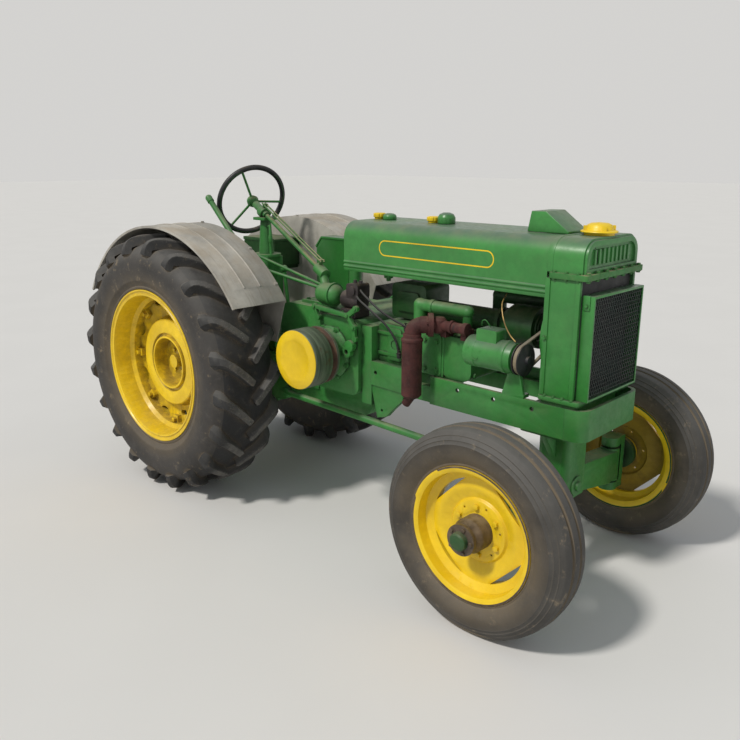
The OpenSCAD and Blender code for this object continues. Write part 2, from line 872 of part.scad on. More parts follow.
module top_tank() {
    front = radiator_front_x + 8;
    color(green) in_frame() {
        difference() {
            union() {
                run_forward(radiator_x, front - 8) hood_section(0, tank_flange_z + 18);
                run_forward(front - 9, front) hood_section(7, tank_flange_z + 17);
                run_forward(radiator_x, radiator_x + 20) hood_section(-1.5, tank_flange_z + 18);
            }
            run_forward(front - 8, front + 1) hood_section(24, tank_flange_z + 32);
        }
        for (i = [-4 : 4])
            box([front - 9, i * 27 - 6, tank_flange_z + 42], [front - 3, i * 27 + 6, hood_top_z - 34]);
        post_box([radiator_x + 12, -188, tank_flange_z], [radiator_front_x + 24, 188, tank_flange_z + 18], 10);
    }
}

module bottom_tank() {
    color(green) in_frame() {
        post_box([radiator_x - 3, -188, low_flange_z - 2], [radiator_front_x + 22, 188, low_flange_z + 14], 10);
        post_box([radiator_x + 4, -181, rail_top_z], [radiator_front_x + 14, 181, low_flange_z], 10);
        box([radiator_x + 12, -140, 640], [radiator_front_x - 12, 140, rail_top_z]);
    }
}

module radiator_sides() {
    color(green) in_frame() for (side = [LEFT, RIGHT])
        box([radiator_x, side > 0 ? hood_w / 2 - 6 : -hood_w / 2 - 4, low_flange_z + 14],
            [radiator_front_x, side > 0 ? hood_w / 2 + 4 : -hood_w / 2 + 6, tank_flange_z]);
}

module radiator_guard() {
    low = low_flange_z + 14;
    high = 1046;
    half = 165;
    slots = 20;
    pitch = (2 * half - 14) / slots;
    color(green) in_frame() {
        difference() {
            box([radiator_front_x, -half, low], [guard_x - 3, half, high]);
            box([radiator_front_x - 1, -half + 6, low + 6], [guard_x + 1, half - 6, high - 6]);
        }
        box([radiator_front_x + 6, -half - 4, high - 44], [radiator_front_x + 28, -half + 1, high + 3]);
        to_side(RIGHT, [radiator_front_x + 17, -half - 3, high - 30]) cylinder(h = 6, r = 7);
        translate([guard_x - 5, 0, 0]) rotate([90, 0, 90]) linear_extrude(5) difference() {
            translate([-half, low]) square([2 * half, high - low]);
            for (i = [0 : slots - 1])
                translate([-half + 7 + i * pitch + 2.5, low + 8]) square([pitch - 5, high - low - 16]);
        }
    }
}

module filler_caps() {
    color(yellow) in_frame() {
        translate([radiator_x + 75, 0, hood_top_z]) {
            rotate_extrude() polygon([
                [0, 0],
                [48, 0],
                [48, 8],
                [57, 8],
                [59, 11],
                [57, 14],
                [45, 16],
                [43, 24],
                [38, 32],
                [28, 37],
                [0, 40]
            ]);
            for (a = [45, 135, 225, 315]) rotate(a) box([30, -7, 12], [50, 7, 30]);
        }
        for (x = filler_x) translate([x, 0, hood_top_z]) difference() {
            rotate_extrude() polygon([
                [0, 0],
                [20, 0],
                [20, 6],
                [25, 8],
                [25, 20],
                [21, 23],
                [0, 24]
            ]);
            for (i = [0 : 7]) rotate(45 * i) translate([28, 0, 7]) cylinder(h = 30, r = 5);
        }
    }
}

module hood() {
    color(green) in_frame() {
        difference() {
            union() {
                run_forward(hood_rear_x, radiator_x) hood_section(0, hood_bottom_z);
                for (side = [LEFT, RIGHT], z = [hood_bottom_z + 18, hood_bottom_z + 34])
                    along_x([hood_rear_x, side * hood_w / 2, z]) cylinder(h = radiator_x - hood_rear_x, r = 4);
            }
            run_forward(hood_rear_x + 3, radiator_x + 1) hood_section(3, hood_bottom_z - 1);
        }
        for (side = [LEFT, RIGHT])
            box([hood_rear_x, side > 0 ? hood_w / 2 - 16 : -hood_w / 2 + 2, hood_bottom_z],
                [radiator_x, side > 0 ? hood_w / 2 - 2 : -hood_w / 2 + 16, hood_bottom_z + 3]);
    }
}

module fuel_tank() {
    color(green) in_frame() {
        run_forward(hood_rear_x + 3 + seat_gap, radiator_x - 200) hood_section(3 + seat_gap, hood_bottom_z + 20);
        translate([hood_rear_x + 140, -70, hood_bottom_z - 28]) cylinder(h = 49, r = 18);
        translate([hood_rear_x + 140, -70, hood_bottom_z - 40]) cylinder(h = 14, r = 9);
    }
}

module limb_shields() {
    color(green) in_frame() {
        difference() {
            side_plate(LEFT, 60, 120) polygon([
                [radiator_x - 153, hood_top_z],
                [radiator_x - 140, hood_top_z + 68],
                [radiator_x - 85, hood_top_z + 69],
                [radiator_x, hood_top_z + 8],
                [radiator_x, hood_top_z]
            ]);
            side_plate(LEFT, 54, 108) polygon([
                [radiator_x - 160, hood_top_z - 1],
                [radiator_x - 160, hood_top_z + 60],
                [radiator_x - 87, hood_top_z + 61],
                [radiator_x - 12, hood_top_z + 8],
                [radiator_x - 12, hood_top_z - 1]
            ]);
        }
        for (shield = [[filler_x[0] + 54, 24, 27], [filler_x[1] + 62, 40, 33]])
            translate([shield[0], 0, hood_top_z]) rotate_extrude() polygon([
                [0, 0],
                [shield[2], 0],
                [shield[2], shield[1] * 0.55],
                [shield[2] * 0.8, shield[1] * 0.86],
                [shield[2] * 0.4, shield[1]],
                [0, shield[1]]
            ]);
    }
}

module magneto() {
    x = crank_x + 43;
    color(rust) in_frame() {
        side_box([x, -214, case_deck_z], [x + 80, -134, 884], 6);
        along_x([x - 4, -178, 916]) cylinder(h = 92, r = 35);
        side_box([x + 30, -212, 926], [x + 92, -146, 984], 12);
        along_x([x - 12, -178, 916]) cylinder(h = 12, r = 20);
        to_side(RIGHT, [x + 61, -211, 956]) cylinder(h = 8, r = 19);
        for (dx = [46, 76]) translate([x + dx, -178, 980]) cylinder(h = 14, r = 7);
    }
}

module breather() {
    color(green) in_frame() translate([crank_x - 65, -20, case_deck_z]) rotate_extrude() polygon([
        [0, 0],
        [50, 0],
        [50, 10],
        [34, 16],
        [27, 60],
        [24, 240],
        [24, 280],
        [44, 284],
        [46, 300],
        [38, 322],
        [16, 334],
        [0, 336]
    ]);
}

module water_pipes() {
    top_z = tank_flange_z + 48;
    color(green) in_frame() {
        translate([head_front_x + 60, 92, block_top_z]) cylinder(h = 118, r = 26);
        translate([head_front_x + 60, 92, block_top_z]) cylinder(h = 12, r = 38);
        translate([head_front_x + 60, 92, 960]) sphere(r = 27);
        bar([head_front_x + 60, 92, 960], [radiator_x - 110, 92, 960], 26);
        translate([radiator_x - 110, 92, 960]) sphere(r = 27);
        bar([radiator_x - 110, 92, 960], [radiator_x - 110, 92, top_z], 26);
        translate([radiator_x - 110, 92, top_z]) sphere(r = 27);
        bar([radiator_x - 110, 92, top_z], [radiator_x, 92, top_z], 26);
    }
}

module intake_pipe() {
    x = block_front_x + 6;
    end = 216;
    color(green) in_frame() {
        translate([x, -134, block_top_z]) cylinder(h = 88, r = 24);
        translate([x, -134, block_top_z]) cylinder(h = 10, r = 31);
        translate([x, -134, 930]) sphere(r = 24.5);
        bar([x, -134, 930], [x + end, -134, 930], 22);
        along_x([x + 52, -134, 930]) cylinder(h = 16, r = 25);
        translate([x + end, -134, 930]) sphere(r = 22.5);
        translate([x + end, -134, block_top_z]) cylinder(h = 88, r = 17);
        translate([x + end, -134, block_top_z]) cylinder(h = 10, r = 24);
    }
}

module exhaust_manifold() {
    turn = [cos(43), sin(43), 0];
    start = [muffler_x, muffler_y, 884] + turn * 64;
    knee = start + turn * 30;
    far = head_front_x + 128;
    color(rust) in_frame() {
        bar(start, start + turn * 9, 42);
        bar(start + turn * 4, knee, 22);
        translate(knee) rotate_extrude() polygon([
            [0, -27],
            [18, -27],
            [26, -18],
            [26, 18],
            [18, 27],
            [0, 27]
        ]);
        along_x([knee[0], knee[1], 884]) cylinder(h = far - knee[0], r = 18);
        along_x([far - 14, knee[1], 884]) cylinder(h = 18, r = 22);
        along_x([head_front_x + 60, knee[1], 884]) cylinder(h = 10, r = 23);
        for (dx = [24, 112])
            box([head_front_x + dx - 12, knee[1] + 2, block_top_z], [head_front_x + dx + 12, -152, 879]);
    }
}

module muffler() {
    x = muffler_x;
    y = muffler_y;
    r = muffler_d / 2;
    turn = [cos(43), sin(43), 0];
    color(rust) in_frame() {
        translate([x, y, 0]) rotate_extrude() polygon([
            [0, 618],
            [r - 9, 618],
            [r, 628],
            [r, 824],
            [r + 2.5, 826],
            [r + 2.5, 834],
            [r, 836],
            [r - 4, 840],
            [r - 4, 852],
            [0, 852]
        ]);
        translate([x, y, 852]) rotate([0, 0, 43]) translate([32, 0, 0]) rotate([90, 0, 0]) rotate([0, 0, 90])
            rotate_extrude(angle = 90) translate([32, 0]) circle(r = r - 9);
        bar([x, y, 884] + turn * 27, [x, y, 884] + turn * 58, r - 6);
        bar([x, y, 884] + turn * 55, [x, y, 884] + turn * 64, 42);
        difference() {
            bar([x, y, 622], [x - 26, y, 588], 16);
            bar([x - 8, y, 611.5], [x - 40, y, 569.7], 11);
        }
    }
}

module generator() {
    x = belt_x - 207;
    r = generator_d / 2;
    color(green) in_frame() {
        translate([x, generator_y, generator_z]) rotate([0, 90, 0]) rotate_extrude() polygon([
            [0, -8],
            [14, -8],
            [14, 0],
            [r - 10, 0],
            [r, 8],
            [r, 20],
            [r + 1.5, 22],
            [r + 1.5, 48],
            [r, 50],
            [r, 148],
            [r + 2, 150],
            [r + 2, 164],
            [r - 2, 167],
            [r - 2, 190],
            [12, 196],
            [12, 201],
            [generator_pulley_r + 9, 201],
            [generator_pulley_r + 9, 204],
            [generator_pulley_r, 205],
            [generator_pulley_r, 220],
            [generator_pulley_r + 9, 221],
            [generator_pulley_r + 9, 225],
            [14, 230],
            [14, 239],
            [0, 239]
        ]);
        side_box([x + 47, generator_y - 30, generator_z + 40], [x + 127, generator_y + 30, generator_z + 85], 8);
        box([x + 132, -rail_y, rail_top_z], [x + 216, -rail_y + 34, rail_top_z + 12]);
        side_plate(RIGHT, rail_y, 14) polygon([
            [x + 134, rail_top_z + 10],
            [x + 214, rail_top_z + 10],
            [x + 196, generator_z - 50],
            [x + 162, generator_z - 30],
            [x + 152, generator_z - 50]
        ]);
    }
}

// The outline of a belt round two pulleys, moved out by one distance.
module belt_outline(out) {
    c = [[generator_y, generator_z], [0, fan_z]];
    r = [generator_pulley_r + out, fan_pulley_r + out];
    run = c[1] - c[0];
    turn = acos((r[0] - r[1]) / norm(run));
    lean = atan2(run[1], run[0]);
    for (i = [0, 1]) translate(c[i]) circle(r = r[i]);
    polygon([
        c[0] + r[0] * [cos(lean + turn), sin(lean + turn)],
        c[1] + r[1] * [cos(lean + turn), sin(lean + turn)],
        c[1] + r[1] * [cos(lean - turn), sin(lean - turn)],
        c[0] + r[0] * [cos(lean - turn), sin(lean - turn)]
    ]);
}

module fan_belt() {
    color(steel) in_frame() translate([belt_x, 0, 0]) rotate([90, 0, 90]) linear_extrude(12)
        difference() {
            belt_outline(seat_gap + belt_t);
            belt_outline(seat_gap);
        }
}

module steering_post() {
    collar = wheel_centre + wheel_axis * 138;
    color(green) in_frame() {
        difference() {
            union() {
                post_box([post_x - 54, -84, platform_z + 4], [post_x + 54, 32, 1012], 16);
                translate([post_x, -26, 1011]) cylinder(h = 13, r = 66);
                translate([post_x, -26, 1023]) cylinder(h = 158, r1 = 34, r2 = 23);
                post_box([post_x - 40, -70, 1176], [post_x + 40, 12, 1188], 10);
                bar(wheel_centre + wheel_axis * 47, wheel_centre + wheel_axis * 172, 17);
                bar(collar - wheel_axis * 18, collar + wheel_axis * 18, 27);
            }
            bar(wheel_centre, wheel_centre + wheel_axis * 300, shaft_r + run_gap);
        }
        bar([post_x + 56, -46, 1022], [post_x + 56, -46, 1158], 6);
        bar([post_x + 56, -46, 1150], [post_x + 8, -30, 1150], 6);
        translate([post_x + 56, -46, 1080]) cylinder(h = 30, r = 9);
    }
}

module steering_gear() {
    y = -180;
    z = 923;
    color(green) in_frame() {
        translate([gear_x + 8, y, z]) sphere(r = 43);
        along_x([gear_x + 8, y, z]) cylinder(h = 44, r = 43);
        translate([gear_x + 52, y, z]) sphere(r = 43);
        along_x([gear_x + 54, y, z]) cylinder(h = 9, r = 48);
        translate([gear_x + 20, y + 10, case_deck_z]) cylinder(h = 60, r = 32);
        translate([gear_x + 20, y + 10, case_deck_z]) cylinder(h = 12, r = 42);
        difference() {
            union() {
                bar(wheel_centre + wheel_axis * (shaft_len - 50), wheel_centre + wheel_axis * (shaft_len + 16), 23);
                bar([gear_x, -170, 940], wheel_centre + wheel_axis * (shaft_len - 8), 18);
            }
            bar(wheel_centre, wheel_centre + wheel_axis * (shaft_len + 1), shaft_r + run_gap);
        }
    }
}

module control_levers() {
    y = -196;
    color(green) in_frame() {
        bar([114, y, 1117], [-30, y, 1255.6], 12);
        bar([-30, y, 1255.6], [-46, y, 1271], 15);
        translate([-46, y, 1271]) sphere(r = 15.5);
        translate([114, y, 1117]) sphere(r = 13);
        difference() {
            bar([140, y, platform_z - 2], [114, y, 1117], 8);
            box([100, y - 40, platform_z - 20], [190, y + 40, platform_z + 4]);
        }
        translate([140, y, platform_z + 4]) cylinder(h = 12, r = 22);
        bar([120, y, 1010], [gear_x - 22, -136, 926], 7);
        bar([120, y + 24, 1066], [gear_x - 22, -128, 932], 6);
        translate([120, y - 6, 1066]) rotate([-90, 0, 0]) cylinder(h = 36, r = 8);
        translate([gear_x - 22, -128, case_deck_z]) cylinder(h = 90, r = 9);
        for (y = [-118, 100]) {
            translate([300, y, platform_z + 4]) cylinder(h = 10, r = 16);
            translate([300, y, platform_z + 4]) cylinder(h = 66, r = 8);
            box([262, y - 34, platform_z + 62], [330, y + 34, platform_z + 74]);
        }
        translate([300, -30, platform_z + 4]) cylinder(h = 20, r = 26);
        bar([300, -30, platform_z + 20], [270, -30, 960], 8);
        translate([270, -30, 966]) sphere(r = 16);
    }
}

// Flat links with round eyes, drawn along a line of points in X and Z.
module link_chain(points, r, width) {
    for (i = [0 : len(points) - 1]) translate(points[i]) circle(r = r);
    for (i = [0 : len(points) - 2]) {
        run = points[i + 1] - points[i];
        translate(points[i]) rotate(atan2(run[1], run[0]))
            translate([0, -width / 2]) square([norm(run), width]);
    }
}

module clutch_linkage() {
    x = crank_x;
    color(green) in_frame() {
        side_plate(RIGHT, 250, 14) link_chain([
            [x - 55, 838],
            [x - 72, 880],
            [x + 112, 866],
            [x + 146, 824],
            [x + 150, 780],
            [x + 133, 753]
        ], 12, 15);
        side_plate(RIGHT, 250, 14) link_chain([[x + 112, 866], [x + 156, 898]], 12, 18);
        side_plate(RIGHT, 262, 20) difference() {
            link_chain([[x + 133, 753], [x + 120, 728]], 22, 30);
            translate([x + 120, 728]) circle(r = 10);
        }
        for (p = [[x - 55, 838], [x + 133, 753]])
            to_side(RIGHT, [p[0], -bulge_y, p[1]]) cylinder(h = 12, r = 12);
        for (p = [[x - 72, 880], [x + 112, 866], [x + 146, 824], [x + 156, 898]])
            to_side(RIGHT, [p[0], -234, p[1]]) cylinder(h = 22, r = 7);
    }
}

module platform() {
    color(green) in_frame()
        difference() {
            union() {
                box([-330, -fender_in_y, case_top_z], [480, fender_in_y, platform_z + 4]);
                for (side = [LEFT, RIGHT]) {
                    low = side > 0 ? case_y + 70 : -fender_in_y;
                    box([474, low, case_top_z - 26], [480, low + fender_in_y - case_y - 70, case_top_z + 1]);
                    box([-330, low, case_top_z - 26], [-324, low + fender_in_y - case_y - 70, case_top_z + 1]);
                }
                for (side = [LEFT, RIGHT], x = [200, 250, 300, 350, 400])
                    box([x, side > 0 ? 170 : -250, platform_z], [x + 8, side > 0 ? 250 : -170, platform_z + 7]);
            }
            box([380 - seat_gap, -case_y - seat_gap, case_top_z - 1], [490, case_y + seat_gap, platform_z + 5]);
        }
}

module seat() {
    pan_r = 200;
    color(green) in_frame() {
        translate([-420, 0, 925]) {
            difference() {
                union() {
                    rotate_extrude() polygon([
                        [0, 0],
                        [110, 8],
                        [170, 34],
                        [pan_r, 60],
                        [pan_r, 64],
                        [168, 39],
                        [108, 12],
                        [0, 4]
                    ]);
                    difference() {
                        rotate_extrude() polygon([
                            [pan_r - 2, 58],
                            [pan_r + 8, 120],
                            [pan_r + 4, 124],
                            [pan_r - 6, 62]
                        ]);
                        translate([-60, -250, 50]) cube([400, 500, 100]);
                    }
                }
                for (row = [[50, 6], [96, 10]], i = [0 : row[1] - 1])
                    rotate([0, 0, 360 / row[1] * i]) translate([row[0], 0, -5]) cylinder(h = 40, r = 9);
            }
            translate([0, 0, -8]) cylinder(h = 11, r = 34);
        }
        side_plate(LEFT, 24, 48) link_chain([[-420, 913], [-300, 830], [-250, 722]], 8, 10);
        translate([-250, 0, platform_z + 4]) cylinder(h = 14, r = 36);
    }
}

// The fender's inner wall, drawn in X and Z.
module skirt_outline() {
    intersection() {
        translate([fender_x, fender_z]) circle(r = fender_r + 1, $fn = 96);
        polygon([
            [-480, case_top_z],
            [fender_x + fender_r * cos(fender_rear_a), fender_z + fender_r * sin(fender_rear_a)],
            [fender_x - 480, fender_z + fender_r],
            [fender_x + 480, fender_z + fender_r],
            [fender_x + fender_r * cos(fender_front_a), fender_z + fender_r * sin(fender_front_a)],
            [crank_x - flywheel_r - 96, case_top_z]
        ]);
    }
}

module fender(side) {
    low = side > 0 ? fender_in_y : -fender_out_y;
    width = fender_out_y - fender_in_y;
    edge_at = side > 0 ? width - 5 : 5;
    color(sheet_grey) in_frame() {
        translate([fender_x, low, fender_z]) rotate([-90, 0, 0]) rotate([0, 0, -fender_rear_a])
            rotate_extrude(angle = fender_rear_a - fender_front_a) {
                translate([fender_r, 0]) square([fender_t, width]);
                translate([fender_r - 6, edge_at - 5]) square([10, 10]);
            }
        translate([fender_x, low, fender_z]) rotate([-90, 0, 0]) rotate([0, 0, 7 - fender_rear_a])
            rotate_extrude(angle = fender_rear_a - fender_front_a - 14)
                for (at = [0.36, 0.66]) translate([fender_r + fender_t + 0.2, width * at]) circle(r = 3.6);
        side_plate(side, fender_in_y + fender_t, fender_t) skirt_outline();
        for (a = [60, 120]) translate([fender_x, 0, fender_z]) rotate([0, -a, 0])
            box([fender_r - 180, side > 0 ? fender_in_y + 3 : -fender_in_y - 8, -18],
                [fender_r + 1, side > 0 ? fender_in_y + 8 : -fender_in_y - 3, 18]);
    }
}

module fender_left() {
    fender(LEFT);
}

module fender_right() {
    fender(RIGHT);
}

module tool_box() {
    inner = fender_in_y - 78;
    color(green) in_frame() {
        side_plate(LEFT, fender_in_y, 78) polygon([[246, 840], [458, 840], [458, 1090], [284, 1090], [246, 1046]]);
        side_plate(LEFT, fender_in_y, 81) polygon([
            [280, 1086],
            [461, 1086],
            [461, 1096],
            [280, 1096],
            [240, 1048],
            [246, 1043]
        ]);
    }
}

module battery_box() {
    inner = fender_in_y - 156;
    color(dark) in_frame() {
        side_box([-200, inner, 935], [34, fender_in_y, 1062], 8);
        side_box([-204, inner - 3, 1054], [38, fender_in_y, 1070], 5);
        box([-180, inner + 20, 920], [-160, fender_in_y, 936]);
        box([0, inner + 20, 920], [20, fender_in_y, 936]);
    }
}

module drawbar() {
    color(green) in_frame() difference() {
        union() {
            box([-rear_reach, -35, 330], [200, 35, 360]);
            translate([-rear_reach + 40, 0, 330]) cylinder(h = 30, r = 39.5);
            box([-150, -35, 360], [-110, 35, 400]);
            box([160, -35, 360], [200, 35, 400]);
            for (side = [LEFT, RIGHT]) {
                box([-152, side > 0 ? 35 : -135, 372], [-112, side > 0 ? 135 : -35, 400]);
                box([-152, side > 0 ? 119 : -135, 330], [-112, side > 0 ? 135 : -119, 400]);
            }
            box([-180, -135, 322], [-100, 135, 331]);
        }
        translate([-rear_reach + 40, 0, 300]) cylinder(h = 90, r = 14);
    }
}

module steering_wheel() {
    ring_r = steering_wheel_d / 2 - steering_grip_d / 2;
    color(dark) in_frame() translate(wheel_centre)
        rotate([0, acos(wheel_axis[2]), atan2(wheel_axis[1], wheel_axis[0])]) {
            rotate_extrude() translate([ring_r, 0]) circle(r = steering_grip_d / 2);
            for (i = [0 : 2]) rotate([0, 0, 120 * i + 85])
                bar([10, 0, 14], [ring_r, 0, 0], 5.5);
            rotate_extrude() polygon([
                [0, -6],
                [16, -6],
                [24, 2],
                [28, 16],
                [22, 34],
                [14, 40],
                [0, 40]
            ]);
            cylinder(h = shaft_len, r = shaft_r);
        }
}

main_case();
axle_housings();
cylinder_block();
valve_cover();
pulley_housing();
frame_rails();
rail_brackets();
front_bolster();
front_axle();
radiator_core();
top_tank();
bottom_tank();
radiator_sides();
radiator_guard();
filler_caps();
hood();
fuel_tank();
limb_shields();
fan_housing();
fan_shroud();
magneto();
breather();
water_pipes();
intake_pipe();
exhaust_manifold();
muffler();
generator();
fan_belt();
steering_post();
steering_gear();
control_levers();
clutch_linkage();
platform();
seat();
fender_left();
fender_right();
tool_box();
battery_box();
drawbar();
steering_wheel();
pitman_arm();
drag_link();
tie_rod();
knuckle_left();
knuckle_right();
front_wheel_left();
front_wheel_right();
front_tyre_left();
front_tyre_right();
rear_wheel_left();
rear_wheel_right();
rear_tyre_left();
rear_tyre_right();
belt_pulley();
pulley_cover();
flywheel();
fan();
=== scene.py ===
import json
import math

import bmesh
import bpy
from mathutils import Matrix, Vector


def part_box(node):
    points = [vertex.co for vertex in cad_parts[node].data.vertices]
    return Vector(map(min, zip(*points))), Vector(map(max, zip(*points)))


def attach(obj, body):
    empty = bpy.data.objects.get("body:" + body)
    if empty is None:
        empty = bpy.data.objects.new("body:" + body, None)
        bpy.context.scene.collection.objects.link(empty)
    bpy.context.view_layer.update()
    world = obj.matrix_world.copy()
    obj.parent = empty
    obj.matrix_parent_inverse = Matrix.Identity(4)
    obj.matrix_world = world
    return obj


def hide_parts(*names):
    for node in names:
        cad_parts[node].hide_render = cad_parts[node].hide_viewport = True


bl_info = {
    "name": "Small Farm Tractor",
    "version": (1, 0, 0),
    "blender": (4, 5, 0),
    "location": "3D View > Sidebar > Tractor",
    "description": "Builds the visible pieces and finishes of a small two-cylinder farm tractor",
    "category": "Object",
}

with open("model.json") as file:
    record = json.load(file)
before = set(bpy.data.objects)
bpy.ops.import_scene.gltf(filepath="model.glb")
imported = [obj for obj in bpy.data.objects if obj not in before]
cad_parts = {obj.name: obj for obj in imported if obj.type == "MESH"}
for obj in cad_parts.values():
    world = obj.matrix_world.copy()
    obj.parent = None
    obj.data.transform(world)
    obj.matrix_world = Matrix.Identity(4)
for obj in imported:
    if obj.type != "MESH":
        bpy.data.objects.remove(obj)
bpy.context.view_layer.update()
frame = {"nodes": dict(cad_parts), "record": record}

SHIFT = 0.674  # from the rear axle line forward to the frame's origin
BODIES = frame["record"]["behaviour"]["bodies"]
BODY_OF = {n: b for b, nodes in BODIES.items() for n in nodes}
SLOT_OF = {s["node"]: s["material_slot"] for s in frame["record"]["subparts"]}
RIGHT, LEFT = -1, 1
SIDES = (RIGHT, LEFT)


def spot(x, y, z):
    """A place in millimetres from the rear axle line, in the row frame."""
    return Vector((x / 1000 - SHIFT, y / 1000, z / 1000))


def span(node):
    """The size of a CAD node along each axis, in metres."""
    lo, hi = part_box(node)
    return hi - lo


def middle(node):
    lo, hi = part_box(node)
    return (lo + hi) / 2


def of_side(kind, side):
    """The name of a node that comes in a left and a right one."""
    return kind + ("_left" if side > 0 else "_right")


REAR_R = span("rear_tyre_right").z / 2
REAR_W = span("rear_tyre_right").y
REAR_AT = middle("rear_tyre_right")
FRONT_R = span("front_tyre_right").z / 2
FRONT_W = span("front_tyre_right").y
FRONT_AT = middle("front_tyre_right")
JOINTS = {j["name"]: j for j in frame["record"]["behaviour"]["joints"]}
HELM = JOINTS["steering_wheel_turn"]
HELM_HUB, HELM_AXIS = Vector(HELM["pos_m"]), Vector(HELM["axis"]).normalized()
HOOD_LO, HOOD_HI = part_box("hood")
GUARD_LO, GUARD_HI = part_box("radiator_guard")


def length(name, description, default):
    """A size that a user can change."""
    return bpy.props.FloatProperty(
        name=name, description=description, default=default, unit="LENGTH"
    )


def tint(name, description, default):
    """A colour that a user can change."""
    return bpy.props.FloatVectorProperty(
        name=name,
        description=description,
        default=default,
        subtype="COLOR",
        size=3,
        min=0,
        max=1,
    )


class TractorSizes(bpy.types.PropertyGroup):
    """Sizes of what the frame doesn't fix"""

    lug_count: bpy.props.IntProperty(
        name="Lugs a side",
        description="Lugs on each half of a rear tread",
        default=20,
        min=12,
        max=26,
    )
    lug_width: length("Lug width", "Width of a lug across its top", 0.028)
    lug_height: length("Lug height", "Height of a lug above the tread", 0.036)
    bolt_head: length("Bolt head", "Radius of a plain bolt's head", 0.0095)
    mesh_wide: length("Guard mesh width", "Width of one mesh of the radiator's guard", 0.0142)
    mesh_high: length("Guard mesh height", "Height of one mesh of the radiator's guard", 0.026)
    edge_round: length("Edge rounding", "Width of the rounded edges of castings", 0.003)
    sheet_round: length("Sheet rounding", "Width of the rounded edges of sheet metal", 0.0012)


class TractorColours(bpy.types.PropertyGroup):
    """Colours of the finishes, in linear light"""

    green: tint("Green paint", "Colour of the castings and the hood", (0.042, 0.245, 0.046))
    yellow: tint("Yellow paint", "Colour of the wheels and caps", (0.93, 0.62, 0.006))
    rubber: tint("Rubber", "Colour of the tyres", (0.021, 0.021, 0.022))
    sheet: tint("Bare sheet", "Colour of the weathered fenders", (0.41, 0.39, 0.345))
    rust: tint("Rust", "Colour of the hot exhaust parts", (0.082, 0.027, 0.024))
    iron: tint("Dark iron", "Colour of oily dark iron", (0.014, 0.015, 0.017))
    steel: tint("Worn steel", "Colour of bare worn steel", (0.22, 0.21, 0.17))
    dust: tint("Dust", "Colour of the field dust on everything", (0.36, 0.28, 0.18))
    floor: tint("Floor", "Colour of the floor", (0.74, 0.73, 0.71))


# Node trees


class Graph:
    """Adds nodes to a tree. An input takes a socket or a plain value."""

    def __init__(self, tree):
        self.tree = tree

    def feed(self, socket, value):
        if isinstance(value, bpy.types.NodeSocket):
            self.tree.links.new(value, socket)
        elif socket.type == "RGBA" and len(value) == 3:
            socket.default_value = (*value, 1)
        else:
            socket.default_value = value

    def add(self, kind, inputs=(), **settings):
        node = self.tree.nodes.new(kind)
        for key, value in settings.items():
            setattr(node, key, value)
        for key, value in dict(inputs).items():
            self.feed(node.inputs[key], value)
        return node

    def calc(self, operation, *values):
        inputs = dict(enumerate(values))
        return self.add("ShaderNodeMath", inputs, operation=operation).outputs[0]


